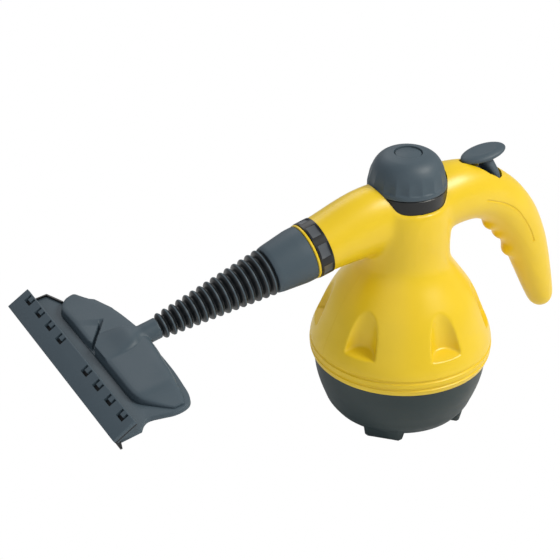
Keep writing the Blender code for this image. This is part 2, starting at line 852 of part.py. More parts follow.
dome_side = [
    (boiler_radius * math.cos(angle), upper_flange_top + dome_rise * math.sin(angle))
    for angle in dome_angles
]
dome_inner = [(radius - boiler_wall, height - boiler_wall) for radius, height in dome_side]
dome_mouth_height = upper_flange_top + dome_rise * math.sin(dome_angles[-1])
upper_outline = [(neck_hole, dome_mouth_height)] + dome_side[::-1]
upper_outline += [(boiler_radius, upper_flange_top), (boiler_flange_radius, upper_flange_top)]
upper_outline += [(boiler_flange_radius, upper_low), (boiler_radius - boiler_wall, upper_low)]
upper_outline += dome_inner + [(neck_hole, dome_mouth_height - boiler_wall)]
boiler_upper = turned("boiler_upper", upper_outline, at(), aluminium, steps=hidden_steps, ring=True)
neck_flange = boiler_neck_radius + boiler_wall
neck_outline = [
    (boiler_neck_radius, boiler_neck_top_height),
    (boiler_neck_radius, dome_mouth_height + gap + boiler_wall),
    (neck_flange, dome_mouth_height + gap + boiler_wall),
    (neck_flange, dome_mouth_height + gap),
    (boiler_neck_radius, dome_mouth_height + gap),
    (boiler_neck_radius, dome_mouth_height - boiler_wall * 2),
    (boiler_neck_bore, dome_mouth_height - boiler_wall * 2),
    (boiler_neck_bore, boiler_neck_top_height),
]
boiler_neck = turned("boiler_neck", neck_outline, at(), brass, steps=hidden_steps, ring=True)
steam_outlet_radius = boiler_radius * math.cos(dome_angles[1])
steam_outlet_height = upper_flange_top + dome_rise * math.sin(dome_angles[1])
outlet_frame = at(steam_outlet_radius, 0, steam_outlet_height - overrun * 2)
cut(boiler_upper, rod("steam_outlet", steam_tube_radius * 0.6, overrun * 4, outlet_frame))

for number, angle in enumerate(quarter_turns, 1):
    ray = at(turn=angle) @ Matrix.Translation((post_circle_radius, 0, 0))
    head_seat = upper_flange_top + gap
    screw_low = head_seat - boiler_screw_length
    hole_frame = along(ray, flange_low - overrun)
    hole = rod(f"flange_hole_{number}", boiler_screw_radius + gap, overrun * 6, hole_frame, steps=screw_steps)
    cut(boiler_lower, hole)
    cut(boiler_upper, hole)
    shank_length = boiler_screw_length + boiler_screw_head_height / 2
    shank = along(ray, screw_low)
    screw = rod(f"boiler_screw_{number}", boiler_screw_radius, shank_length, shank, steel, steps=screw_steps)
    head_sizes = (boiler_screw_head_radius, boiler_screw_head_height)
    join(screw, rod(f"boiler_screw_{number}_head", *head_sizes, along(ray, head_seat), steps=screw_steps))

heater_radius = boiler_radius * 0.62
heater_tube = boiler_wall * 1.2
heater_height = boiler_bottom_height - gap - heater_tube
heater_points = []
for index in range(hidden_steps + 1):
    ray = at(turn=math.radians(20 + 320 * index / hidden_steps))
    heater_points.append(ray @ Vector((heater_radius, 0, heater_height)))
tube("heating_element", heater_points, heater_tube, steel, resolution=1)
thermostat_radius = heater_radius * 0.35
thermostat_height = boiler_wall * 2.4
thermostat_low = boiler_bottom_height - gap - thermostat_height
rod("thermostat", thermostat_radius, thermostat_height, at(z=thermostat_low), black)
fuse_radius = boiler_wall
fuse_length = boiler_radius * 0.4
fuse_x = boiler_radius + gap + fuse_radius
fuse_height = (boiler_bottom_height + boiler_split_height) / 2
fuse_frame = across(fuse_x, fuse_height, -fuse_length / 2)
rod("thermal_fuse", fuse_radius, fuse_length, fuse_frame, tube_plastic, steps=screw_steps)

# Filler collar and cap
collar_shelf = boiler_neck_top_height + gap * 2 + gasket_thickness
collar_outline = [
    (collar_radius, collar_top_height),
    (collar_radius, collar_bottom_height),
    (boiler_neck_radius + gap, collar_bottom_height),
    (boiler_neck_radius + gap, collar_shelf - cap_wall),
    (plug_flange_radius + cap_wall, collar_shelf - cap_wall),
    (plug_flange_radius + cap_wall, collar_top_height),
]
turned("filler_collar", collar_outline, at(), black, steps=spout_steps, ring=True)

plug_flange_low = boiler_neck_top_height + gap * 2 + gasket_thickness
plug_flange_top = plug_flange_low + cap_wall
plug_top = cap_top_height - cap_wall * 4.4
well_floor = plug_bottom_height + cap_wall * 2.6
pin_hole = relief_pin_radius + running_gap
plug_outline = [
    (plug_stem_radius, plug_top),
    (plug_stem_radius, plug_flange_top),
    (plug_flange_radius, plug_flange_top),
    (plug_flange_radius, plug_flange_low),
    (plug_radius, plug_flange_low),
    (plug_radius, plug_bottom_height),
    (pin_hole, plug_bottom_height),
    (pin_hole, well_floor),
    (plug_well_radius, well_floor),
    (plug_well_radius, plug_top),
]
turned("cap_plug", plug_outline, at(), black, steps=hidden_steps, ring=True)
cap_gasket_low = boiler_neck_top_height + gap
cap_gasket_outline = [
    (cap_gasket_radius, cap_gasket_low + gasket_thickness),
    (cap_gasket_radius, cap_gasket_low),
    (plug_radius + gap, cap_gasket_low),
    (plug_radius + gap, cap_gasket_low + gasket_thickness),
]
turned("cap_gasket", cap_gasket_outline, at(), silicone, steps=hidden_steps, ring=True)
pin_head_low = well_floor + gap
pin_head_top = pin_head_low + cap_wall
pin_outline = [
    (0, pin_head_top),
    (relief_head_radius, pin_head_top),
    (relief_head_radius, pin_head_low),
    (relief_pin_radius, pin_head_low),
    (relief_pin_radius, plug_bottom_height - cap_wall / 2),
    (0, plug_bottom_height - cap_wall / 2),
]
turned("relief_pin", pin_outline, at(), brass, steps=screw_steps)

spigot_low = plug_top - overrun * 1.6
rim_inner = cap_rim_radius - cap_wall
cap_side = [
    (cap_rim_radius * radius_share, cap_rim_height + cap_height * height_share)
    for radius_share, height_share in zip(cap_side_radius_shares, cap_side_height_shares)
]
cap_inner = [(radius - cap_wall, height - cap_wall) for radius, height in cap_side[1:]]
disc_floor = cap_top_height - cap_top_disc_depth
socket_radius_outer = plug_stem_radius + gap + cap_wall
socket_low = plug_flange_top + cap_wall * 3
dome_ceiling = cap_top_height - cap_wall * 1.9
cap_outline = [(0, disc_floor), (cap_top_disc_radius, disc_floor), (cap_top_disc_radius, cap_top_height)]
cap_outline += cap_side + [(cap_rim_radius, cap_rim_height), (rim_inner, cap_rim_height)]
cap_outline += cap_inner[::-1] + [(socket_radius_outer, dome_ceiling - cap_wall)]
cap_outline += [(socket_radius_outer, socket_low), (plug_stem_radius + gap, socket_low)]
cap_outline += [(plug_stem_radius + gap, plug_top + gap), (plug_well_radius - gap, plug_top + gap)]
cap_outline += [(plug_well_radius - gap, spigot_low), (0, spigot_low)]
cap_dome = turned("cap_dome", cap_outline, at(), slate, steps=cap_flute_count * 2)
flute_height = cap_height * 0.62
flute_middle = (cap_rim_radius + cap_flute_radius * 0.55, 0, cap_rim_height + cap_height * 0.46)
for number in range(cap_flute_count):
    angle = 2 * math.pi * number / cap_flute_count
    flute_frame = at(turn=angle) @ Matrix.Translation(flute_middle) @ Matrix.Rotation(cap_flute_lean, 4, "Y")
    radii = (cap_flute_radius, cap_flute_radius, flute_height / 2)
    cut(cap_dome, ellipsoid(f"flute_{number + 1}", radii, flute_frame, steps=8))


def coil(name, radius, wire, turns, low, high, middle_x=0.0):
    """An open compression spring, its wire's centre line inside the two heights."""
    steps = int(turns * 8)
    points = []
    for index in range(steps + 1):
        angle = 2 * math.pi * turns * index / steps
        height = low + wire + (high - low - wire * 2) * index / steps
        points.append(Vector((middle_x + radius * math.cos(angle), radius * math.sin(angle), height)))
    tube(name, points, wire, steel, resolution=0)


relief_span = (pin_head_top + gap, spigot_low - gap)
coil("relief_spring", relief_spring_radius, relief_spring_wire, relief_spring_turns, *relief_span)

# Trigger, its pin, and the steam valve under it
pin_frame = across(trigger_pin_x, trigger_pin_height, -trigger_pin_length / 2)
rod("trigger_pin", trigger_pin_radius, trigger_pin_length, pin_frame, steel, steps=screw_steps)

hinge_origin = Vector((trigger_pin_x, 0, trigger_pin_height))
pad_offset = Vector((trigger_pad_x, 0, trigger_pad_height)) - hinge_origin
lever_low = plunger_top_height + trigger_pin_radius * 1.8 - trigger_pin_height
lever_outline = [
    (0, trigger_hub_radius * 0.9),
    (0, -trigger_hub_radius * 0.9),
    (pad_offset.x * 0.4, lever_low),
    (pad_offset.x * 0.88, lever_low),
    (pad_offset.x * 1.1, lever_low - trigger_hub_radius * 0.5),
    (trigger_lever_reach, lever_low - trigger_hub_radius * 0.8),
    (trigger_lever_reach * 0.96, -trigger_hub_radius * 0.8),
    (trigger_lever_reach * 0.80, pad_offset.z * 0.6),
    (trigger_lever_reach * 0.79, pad_offset.z * 0.86),
    (pad_offset.x - trigger_pad_half_length * 0.55, pad_offset.z * 0.86),
    (pad_offset.x * 0.4, pad_offset.z * 0.62),
]
upright_turn = Matrix.Rotation(math.radians(90), 4, "X")
hinge_frame = Matrix.Translation(hinge_origin)
hub_frame = across(trigger_pin_x, trigger_pin_height, -trigger_thickness / 2)
trigger = rod("trigger", trigger_hub_radius, trigger_thickness, hub_frame, slate)
join(trigger, plate("trigger_lever", lever_outline, trigger_thickness * 0.96, hinge_frame @ upright_turn))
nub_frame = at(valve_x, 0, plunger_top_height + gap)
join(trigger, rod("trigger_nub", trigger_pin_radius, overrun, nub_frame, steps=screw_steps))
pad_radii = (trigger_pad_half_length, trigger_pad_half_width, trigger_pad_thickness)
pad_middle = at(trigger_pad_x, 0, trigger_pad_height - trigger_pad_thickness / 2)
pad_middle = pad_middle @ Matrix.Rotation(-trigger_pad_tilt, 4, "Y")
pad = ellipsoid("trigger_pad", pad_radii, pad_middle, steps=24)
dish_radii = (trigger_pad_half_length * 0.82, trigger_pad_half_width * 0.8, trigger_pad_thickness * 0.35)
dish_middle = along(pad_middle, trigger_pad_thickness * 1.05)
cut(pad, ellipsoid("trigger_dish", dish_radii, dish_middle, steps=20))
join(trigger, pad)
bore_radius = trigger_pin_radius + running_gap
cut(trigger, rod("trigger_bore", bore_radius, trigger_pin_length, pin_frame, steps=screw_steps))

valve_floor = valve_bottom_height + valve_bore
valve_outline = [
    (valve_radius, valve_top_height),
    (valve_radius, valve_bottom_height),
    (0, valve_bottom_height),
]
valve_well = [(0, valve_floor), (valve_bore, valve_floor), (valve_bore, valve_top_height)]
turned("valve_body", valve_well + valve_outline, at(valve_x), brass, steps=small_steps)
valve_travel = plunger_top_height - valve_top_height - valve_spring_wire * 2 * valve_spring_turns
piston_low = valve_floor + valve_travel
piston_top = piston_low + plunger_head_radius
button_low = plunger_top_height - valve_spring_wire * 2
plunger_outline = [
    (0, plunger_top_height),
    (valve_spring_radius, plunger_top_height),
    (valve_spring_radius, button_low),
    (plunger_radius, button_low),
    (plunger_radius, piston_top),
    (valve_bore - running_gap, piston_top),
    (valve_bore - running_gap, piston_low),
    (0, piston_low),
]
turned("valve_plunger", plunger_outline, at(valve_x), steel, steps=small_steps)
valve_coil_radius = valve_spring_radius - valve_spring_wire
valve_span = (valve_top_height + gap, button_low - gap)
coil("valve_spring", valve_coil_radius, valve_spring_wire, valve_spring_turns, *valve_span, valve_x)

valve_face = valve_x - valve_radius - gap
inlet_height = valve_bottom_height + steam_tube_radius * 1.4
inlet_low = Vector((steam_outlet_radius, 0, steam_outlet_height + steam_tube_radius))
inlet_route = [
    inlet_low,
    Vector((steam_outlet_radius - steam_tube_radius * 1.6, 0, (inlet_low.z + inlet_height) / 2)),
    Vector((steam_outlet_radius - steam_tube_radius, 0, inlet_height - steam_tube_radius * 4)),
    Vector((valve_face - steam_tube_radius * 4, 0, inlet_height)),
    Vector((valve_face - steam_tube_radius * 2, 0, inlet_height)),
    Vector((valve_face - gap, 0, inlet_height)),
]
tube("steam_tube_in", spread(inlet_route, 14), steam_tube_radius, tube_plastic, resolution=1)
outlet_height = inlet_height + steam_tube_radius * 2.6
jet_back = -socket_sleeve_depth - jet_length * 0.25
outlet_route = [
    Vector((valve_face - gap, 0, outlet_height)),
    Vector((valve_face - steam_tube_radius, 0, outlet_height)),
    Vector((valve_face - steam_tube_radius * 2, 0, outlet_height)),
    Vector((steam_tube_side * 1.26, steam_tube_side * 0.42, outlet_height - steam_tube_radius)),
    Vector((steam_tube_side * 0.72, steam_tube_side * 0.70, (outlet_height + steam_tube_height) / 2)),
    Vector((0, steam_tube_side, steam_tube_height)),
    Vector((-steam_tube_side * 0.68, steam_tube_side * 0.72, steam_tube_height)),
    Vector((-steam_tube_side * 1.35, steam_tube_side * 0.42, (steam_tube_height + spout_root_height) / 2)),
    spout_point(jet_back - steam_tube_radius * 4),
    spout_point(jet_back - steam_tube_radius * 2),
    spout_point(jet_back - gap * 2),
]
tube("steam_tube_out", spread(outlet_route, 27), steam_tube_radius, tube_plastic, resolution=1)

# Nozzle socket and steam jet
sleeve_back = -socket_sleeve_depth
socket_outline = [
    (socket_radius, socket_length),
    (socket_radius, gap),
    (socket_sleeve_radius, gap),
    (socket_sleeve_radius, sleeve_back),
    (jet_radius + gap, sleeve_back),
    (jet_radius + gap, sleeve_back + cap_wall),
    (socket_bore, sleeve_back + cap_wall),
    (socket_bore, socket_length),
]
socket = turned("nozzle_socket", socket_outline, spout_frame, black, steps=spout_steps, ring=True)
for number in range(socket_window_count):
    angle = 2 * math.pi * (number + 0.5) / socket_window_count
    ray = spout_frame @ Matrix.Rotation(angle, 4, "Z")
    window_frame = ray @ Matrix.Translation((socket_radius, 0, socket_length / 2))
    window_size = (socket_window_depth * 2, socket_window_width, socket_window_length)
    cut(socket, block(f"window_{number + 1}", window_size, window_frame))
jet_front = jet_back + jet_length
jet_flange_low = sleeve_back + cap_wall + gap
jet_outline = [
    (jet_radius * 0.6, jet_front),
    (jet_radius, jet_front - jet_radius),
    (jet_radius, jet_flange_low + cap_wall),
    (jet_flange_radius, jet_flange_low + cap_wall),
    (jet_flange_radius, jet_flange_low),
    (jet_radius, jet_flange_low),
    (jet_radius, jet_back),
    (jet_bore, jet_back),
    (jet_bore, jet_front),
]
turned("steam_jet", jet_outline, spout_frame, brass, steps=small_steps, ring=True)

# Extension: lock ring, seal, cuff and ribbed hose on the spout's axis
ring_low = socket_length + gap
ring_top = ring_low + seal_ring_thickness
ring_bore = spigot_radius + gap
lock_outline = [
    (seal_ring_radius, ring_top),
    (seal_ring_radius, ring_low),
    (ring_bore, ring_low),
    (ring_bore, ring_top),
]
turned("lock_ring", lock_outline, spout_frame, yellow, steps=spout_steps, ring=True)
cuff_low = ring_top + gap
cuff_top = cuff_low + cuff_length
spigot_back = ring_low - spigot_length
seal_groove = spigot_back + cap_wall
seal_groove_top = seal_groove + seal_ring_thickness
seal_floor = spigot_radius - seal_ring_thickness * 0.6
hose_shoulder = cuff_top - cuff_length * 0.35
hose_core = rib_first_radius - rib_depth
cuff_outline = [
    (cuff_end_radius, cuff_top),
    (cuff_end_radius * 1.04, cuff_top - cuff_length * 0.12),
    (cuff_start_radius, cuff_low + cuff_length * 0.22),
    (cuff_start_radius, cuff_low),
    (spigot_radius, cuff_low),
    (spigot_radius, seal_groove_top),
    (seal_floor, seal_groove_top),
    (seal_floor, seal_groove),
    (spigot_radius, seal_groove),
    (spigot_radius, spigot_back),
    (hose_bore * 1.5, spigot_back),
    (hose_bore * 1.5, hose_shoulder - gap),
    (hose_core * 0.8 + gap, hose_shoulder - gap),
    (hose_core * 0.8 + gap, cuff_top),
]
turned("cuff", cuff_outline, spout_frame, slate, steps=spout_steps, ring=True)
seal_outline = [
    (socket_bore - running_gap, seal_groove_top - gap),
    (socket_bore - running_gap, seal_groove + gap),
    (seal_floor + gap, seal_groove + gap),
    (seal_floor + gap, seal_groove_top - gap),
]
turned("seal_ring", seal_outline, spout_frame, silicone, steps=hidden_steps, ring=True)

hose_low = cuff_top + gap
rib_pitch = hose_length / rib_count
hose_outline = []
for number in range(rib_count):
    share = number / (rib_count - 1)
    crest = rib_first_radius * (1 - share) + rib_last_radius * share
    start = hose_low + rib_pitch * number
    hose_outline.append((crest - rib_depth, start))
    hose_outline.append((crest, start + rib_pitch * rib_share))
hose_top = hose_low + hose_length
hose_outline.append((rib_last_radius - rib_depth, hose_top))
hose_tail = [(hose_core * 0.8, hose_low), (hose_core * 0.8, hose_shoulder), (0, hose_shoulder)]
hose_profile = [(0, hose_top)] + hose_outline[::-1] + hose_tail
hose = turned("ribbed_hose", hose_profile, spout_frame, slate, steps=hose_steps)
bore_start = hose_shoulder - overrun
bore_length = hose_top - bore_start + overrun
cut(hose, rod("hose_bore", hose_bore, bore_length, along(spout_frame, bore_start), steps=small_steps))

# Squeegee head: neck, fan, plate with slots, clip and rubber
neck_low = hose_top + gap
neck_points = 20
neck_reach = fan_depth * 0.30
neck_start = spout_point(neck_low)
head_start = spout_point(neck_low - head_setback)
head_frame = level_frame(head_start.x, head_start.z, head_pitch)


def flat_ring(centre, half_height, half_width, squareness, frame):
    """A rounded rectangle in the frame's YZ plane; squareness 2 is an ellipse."""
    ring = []
    for index in range(neck_points):
        angle = 2 * math.pi * index / neck_points
        cosine = math.cos(angle)
        sine = math.sin(angle)
        side = half_width * math.copysign(abs(sine) ** (2 / squareness), sine)
        rise = half_height * math.copysign(abs(cosine) ** (2 / squareness), cosine)
        ring.append(frame @ Vector((centre[0], side, centre[1] + rise)))
    return ring


neck_frame = level_frame(neck_start.x, neck_start.z, spout_pitch)
hump_rise = fan_thickness * hump_rise_share
hump_rings = [
    flat_ring((0, 0), neck_radius, neck_radius, 2, neck_frame),
    flat_ring((neck_reach * 0.55, 0), neck_radius, neck_radius, 2, neck_frame),
    flat_ring((neck_reach, 0), neck_radius, neck_radius * 1.12, 2.1, neck_frame),
    flat_ring((fan_depth * 0.52, hump_rise), neck_radius * 0.78, neck_radius * 1.75, 2.5, head_frame),
    flat_ring((fan_depth * 0.8, hump_rise / 3), neck_radius * 0.5, neck_radius * 2.2, 3, head_frame),
    flat_ring((fan_depth, 0), neck_radius * 0.36, neck_radius * 2.3, 3.5, head_frame),
]
shell = lofted("head_shell", hump_rings, at(), slate)

panel_side_shares = (-0.93, -0.80, -0.66, -0.35, -0.08, 0.08, 0.35, 0.66, 0.80, 0.93)
panel_rear_shares = (0.56, 0.42, 0.32, 0.28, 0.26, 0.26, 0.28, 0.32, 0.42, 0.56)
panel_front_shares = (0.66, 0.88, 1.0, 1.0, 1.0, 1.0, 1.0, 1.0, 0.88, 0.66)
panel_rise_shares = (0.15, 0.55, 0.75, 0.9, 1.0, 1.0, 0.9, 0.75, 0.55, 0.15)
panel_low = shell_low_height
panel_rise = fan_thickness * 1.35
panel_rings = []
shares = zip(panel_side_shares, panel_rear_shares, panel_front_shares, panel_rise_shares)
for side_share, rear_share, front_share, rise_share in shares:
    y = fan_half_width * side_share
    rear = fan_depth * rear_share
    front = fan_depth * front_share
    top = panel_low + fan_thickness * 0.3 + panel_rise * rise_share
    middle = (rear + front) / 2
    panel_rings.append([
        Vector((rear, y, panel_low - overrun)),
        Vector((front, y, panel_low - overrun)),
        Vector((front, y, panel_low + fan_thickness * 0.25)),
        Vector((front * 0.93 + rear * 0.07, y, top - fan_thickness * 0.3 * rise_share)),
        Vector((middle, y, top)),
        Vector((rear * 0.85 + front * 0.15, y, top)),
        Vector((rear, y, panel_low + fan_thickness * 0.25)),
    ])
join(shell, lofted("head_panel", panel_rings, head_frame))
floor_span = fan_half_width * 3
floor_start = fan_depth * 0.2
floor_depth = fan_thickness * 4
floor_middle = head_frame @ Matrix.Translation((floor_start + floor_span / 2, 0, panel_low - floor_depth / 2))
cut(shell, block("shell_floor", (floor_span, floor_span, floor_depth), floor_middle))
plug_frame = along(spout_frame, neck_low - neck_socket_depth)
join(shell, rod("neck_plug", hose_bore - running_gap, neck_socket_depth + overrun, plug_frame))
channel_length = neck_socket_depth + neck_reach + overrun * 2
cut(shell, rod("neck_channel", neck_bore, channel_length, along(plug_frame, -overrun), steps=screw_steps))
outlet_size = (fan_depth, neck_radius * 3, neck_bore)
outlet_middle = head_frame @ Matrix.Translation((fan_depth * 0.85, 0, panel_low + neck_bore * 0.25))
cut(shell, block("steam_slit", outlet_size, outlet_middle))

base_side_shares = (0.10, 0.31, 0.52, 0.70, 0.83, 0.90, 0.925, 0.91, 0.88, 0.90, 0.955, 0.965)
base_reach_shares = (0.155, 0.16, 0.175, 0.215, 0.265, 0.325, 0.41, 0.52, 0.61, 0.67, 0.72, 0.76)
near_side = [
    (blade_reach * reach, blade_half_width * side)
    for reach, side in zip(base_reach_shares, base_side_shares)
]
near_side.append((rubber_reach - rubber_thickness - gap, blade_half_width * base_side_shares[-1]))
far_side = [(reach, -side) for reach, side in near_side]
base_top = panel_low - gap
head_base_frame = head_frame @ Matrix.Translation((0, 0, base_top - fan_thickness / 2))
head_base = plate("head_base", near_side + far_side[::-1], fan_thickness, head_base_frame, slate)

plate_turn = Matrix.Rotation(math.pi + plate_slope, 4, "Y")
plate_frame = head_frame @ Matrix.Translation((blade_reach, 0, plate_front_height)) @ plate_turn


def in_plate(x, y, z):
    return plate_frame @ Matrix.Translation((x, y, z))


plate_span = blade_half_width * 2
plate_middle = in_plate(plate_depth / 2, 0, plate_thickness / 2)
squeegee = block("squeegee_plate", (plate_depth, plate_span, plate_thickness), plate_middle, slate)
lip_middle = in_plate(lip_thickness / 2, 0, lip_drop / 2)
join(squeegee, block("plate_lip", (lip_thickness, plate_span, lip_drop), lip_middle))
cheek_front = rubber_reach - rubber_thickness - gap * 2
cheek_outline = [
    (cheek_front, plate_front_height + plate_thickness * 0.5),
    (cheek_front, base_top + gap),
    (blade_reach - plate_depth * 0.82, base_top + gap),
    (blade_reach - plate_depth * 0.86, plate_front_height + plate_depth * 0.3),
]
cheek_side = blade_half_width - clip_thickness / 2
for side in (-1, 1):
    cheek_frame = head_frame @ Matrix.Translation((0, cheek_side * side, 0)) @ upright_turn
    join(squeegee, plate(f"cheek_{side}", cheek_outline, clip_thickness * 0.98, cheek_frame))
slot_x = plate_depth * 0.70
slot_places = [slot_first_side + slot_pitch * number for number in range(slot_count)]
slot_sides = [-place for place in slot_places] + slot_places
clip_low = plate_thickness + gap
clip_span = plate_span - clip_thickness * 2 - gap * 2
clip_middle = in_plate(clip_start + clip_width / 2, 0, clip_low + clip_thickness / 2)
clip = block("blade_clip", (clip_width, clip_span, clip_thickness), clip_middle, slate)
tongue_rise = plate_thickness * 0.72
tongue_size = (slot_depth * 0.62, slot_width * 0.62, tongue_rise + clip_thickness)
slot_size = (slot_depth, slot_width, plate_thickness * 3)
tongue_height = clip_low - tongue_rise / 2 + clip_thickness / 2 - gap
for number, side in enumerate(slot_sides, 1):
    cut(squeegee, block(f"slot_{number}", slot_size, in_plate(slot_x, side, plate_thickness / 2)))
    tongue_middle = in_plate(slot_x + slot_depth * 0.1, side, tongue_height)
    join(clip, block(f"tongue_{number}", tongue_size, tongue_middle))
rubber_place = (rubber_reach - rubber_thickness / 2, 0, rubber_top_height - rubber_height / 2)
rubber_size = (rubber_thickness, plate_span - clip_thickness, rubber_height)
block("rubber_blade", rubber_size, head_frame @ Matrix.Translation(rubber_place), rubber)

screw_side = fan_half_width * 0.56
screw_reach = fan_depth * 0.62
base_bottom = base_top - fan_thickness
shank_length = fan_thickness * 1.7
shank_low = base_bottom - gap - head_screw_head_radius / 2
head_low = shank_low - head_screw_head_radius / 2
hole_radius = head_screw_radius + gap
for number, side in enumerate((-1, 1), 1):
    spot = head_frame @ Matrix.Translation((screw_reach, screw_side * side, 0))
    base_hole = along(spot, base_bottom - overrun)
    shell_hole = along(spot, shank_low + gap * 2)
    hole_depth = fan_thickness * 3
    cut(head_base, rod(f"head_base_hole_{number}", hole_radius, hole_depth, base_hole, steps=screw_steps))
    cut(shell, rod(f"head_shell_hole_{number}", hole_radius, shank_length, shell_hole, steps=screw_steps))
    shank = along(spot, shank_low)
    screw = rod(f"head_screw_{number}", head_screw_radius, shank_length, shank, steel, steps=screw_steps)
    head_sizes = (head_screw_head_radius, head_screw_head_radius)
    join(screw, rod(f"head_screw_{number}_head", *head_sizes, along(spot, head_low), steps=screw_steps))


def rest_on_middle():
    """Moves the body axis so that the origin is under the middle of the whole part."""
    bpy.context.view_layer.update()
    graph = bpy.context.evaluated_depsgraph_get()
    lows = []
    highs = []
    for obj in parts.objects:
        if obj.type == "EMPTY":
            continue
        evaluated = obj.evaluated_get(graph)
        mesh = evaluated.to_mesh()
        sides = [(evaluated.matrix_world @ vertex.co).x for vertex in mesh.vertices]
        lows.append(min(sides))
        highs.append(max(sides))
        evaluated.to_mesh_clear()
    body_axis.location.x = -(min(lows) + max(highs)) / 2


rest_on_middle()
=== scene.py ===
import json
import math

import bmesh
import bpy
from mathutils import Matrix, Vector


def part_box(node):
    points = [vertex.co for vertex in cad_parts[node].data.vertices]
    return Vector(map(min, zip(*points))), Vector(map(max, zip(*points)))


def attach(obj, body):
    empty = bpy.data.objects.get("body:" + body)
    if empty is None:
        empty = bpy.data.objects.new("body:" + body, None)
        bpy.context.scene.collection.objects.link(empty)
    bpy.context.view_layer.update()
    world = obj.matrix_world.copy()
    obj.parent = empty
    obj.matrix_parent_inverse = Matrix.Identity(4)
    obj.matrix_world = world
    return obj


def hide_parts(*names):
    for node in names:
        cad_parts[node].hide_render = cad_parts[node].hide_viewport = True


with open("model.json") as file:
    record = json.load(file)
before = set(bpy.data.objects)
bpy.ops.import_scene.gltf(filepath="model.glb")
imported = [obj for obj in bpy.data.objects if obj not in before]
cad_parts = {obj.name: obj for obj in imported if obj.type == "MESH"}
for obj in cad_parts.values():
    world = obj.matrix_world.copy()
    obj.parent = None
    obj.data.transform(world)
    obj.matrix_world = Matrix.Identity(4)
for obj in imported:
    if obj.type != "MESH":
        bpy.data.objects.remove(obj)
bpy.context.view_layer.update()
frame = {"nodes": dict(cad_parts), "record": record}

# Shapes are written in millimetres from the upright axis of the round body, and turned to metres once.
capLow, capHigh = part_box("cap_dome")
bodyAxis = (capLow.x + capHigh.x) / 2
toFrame = Matrix.Translation((bodyAxis, 0, 0)) @ Matrix.Diagonal((0.001, 0.001, 0.001, 1))
stage = bpy.context.scene.collection


# Even angles round a full turn.
def around(count):
    return [2 * math.pi * step / count for step in range(count)]


def moved(x=0.0, y=0.0, z=0.0):
    return Matrix.Translation((x, y, z))


def turned(degrees, axis="Z"):
    return Matrix.Rotation(math.radians(degrees), 4, axis)


# A frame whose local Z runs across the part, towards the hidden side.
def across(x, z):
    return moved(x, 0, z) @ turned(-90, "X")


# A frame whose local XY is the part's XZ plane.
def upright(x, z, y=0.0):
    return moved(x, y, z) @ turned(90, "X")


# A frame in the middle plane that dips towards the head, along its local Z if forward and else its local X.
def leaning(x, z, dip, forward=False):
    cosine = math.cos(math.radians(dip))
    sine = math.sin(math.radians(dip))
    ahead = Vector((-cosine, 0, -sine))
    above = Vector((-sine, 0, cosine))
    side = Vector((0, 1, 0)) if forward else Vector((0, -1, 0))
    columns = (above, side, ahead) if forward else (ahead, side, above)
    return moved(x, 0, z) @ Matrix(columns).transposed().to_4x4()


# Where the spout ends, the neck starts and the head sits, as (x, z), and how many degrees they dip.
extension = {
    "spout": (-76, 169.2),
    "neck": (-210.396, 137.43),
    "head": (-208.498, 137.879),
    "dip": 13.3,
    "headDip": 8,
}
spoutFrame = leaning(*extension["spout"], extension["dip"], forward=True)
neckFrame = leaning(*extension["neck"], extension["dip"])
headFrame = leaning(*extension["head"], extension["headDip"])


# A smooth curve through points, read at even shares of its span.
def spread(points, count):
    spans = len(points) - 1
    curve = []
    for index in range(count):
        place = spans * index / (count - 1)
        span = min(int(place), spans - 1)
        share = place - span
        a, b, c, d = (Vector(points[min(max(span + step, 0), spans)]) for step in (-1, 0, 1, 2))
        value = 2 * b + (c - a) * share
        value = value + (2 * a - 5 * b + 4 * c - d) * share**2
        value = value + (3 * b - a - 3 * c + d) * share**3
        curve.append(value / 2)
    return curve


# The same for an outline of number pairs.
def spreadFlat(pairs, count):
    return [(point.x, point.y) for point in spread([(first, second, 0) for first, second in pairs], count)]


# A loose object from a bmesh, moved by this frame while still in millimetres.
def asObject(name, shape, turn=Matrix()):
    mesh = bpy.data.meshes.new(name)
    bmesh.ops.transform(shape, matrix=turn, verts=shape.verts)
    bmesh.ops.recalc_face_normals(shape, faces=shape.faces)
    shape.to_mesh(mesh)
    shape.free()
    made = bpy.data.objects.new(name, mesh)
    stage.objects.link(made)
    return made


# Turns (radius, height) points about local Z; a point on the axis closes the shape there.
def lathe(name, outline, turn=Matrix(), steps=128, radiusAt=None):
    shape = bmesh.new()
    rings = []
    for radius, height in outline:
        if radius == 0:
            rings.append([shape.verts.new((0, 0, height))] * steps)
            continue
        ring = []
        for angle in around(steps):
            reach = radiusAt(radius, height, angle) if radiusAt else radius
            ring.append(shape.verts.new((reach * math.cos(angle), reach * math.sin(angle), height)))
        rings.append(ring)
    pairs = list(zip(rings, rings[1:]))
    if outline[0][0] and outline[-1][0]:
        pairs.append((rings[-1], rings[0]))
    for low, high in pairs:
        for index in range(steps):
            after = (index + 1) % steps
            corners = dict.fromkeys((low[index], low[after], high[after], high[index]))
            shape.faces.new(list(corners))
    return asObject(name, shape, turn)


def rod(name, radius, low, high, turn=Matrix(), steps=64):
    return lathe(name, [(0, low), (radius, low), (radius, high), (0, high)], turn, steps)


# Closed rings of equal counts, joined side by side and capped at both ends.
def loft(name, rings, turn=Matrix()):
    shape = bmesh.new()
    rows = [[shape.verts.new(point) for point in ring] for ring in rings]
    count = len(rows[0])
    for low, high in zip(rows, rows[1:]):
        for index in range(count):
            after = (index + 1) % count
            shape.faces.new((low[index], low[after], high[after], high[index]))
    shape.faces.new(rows[0])
    shape.faces.new(rows[-1])
    return asObject(name, shape, turn)


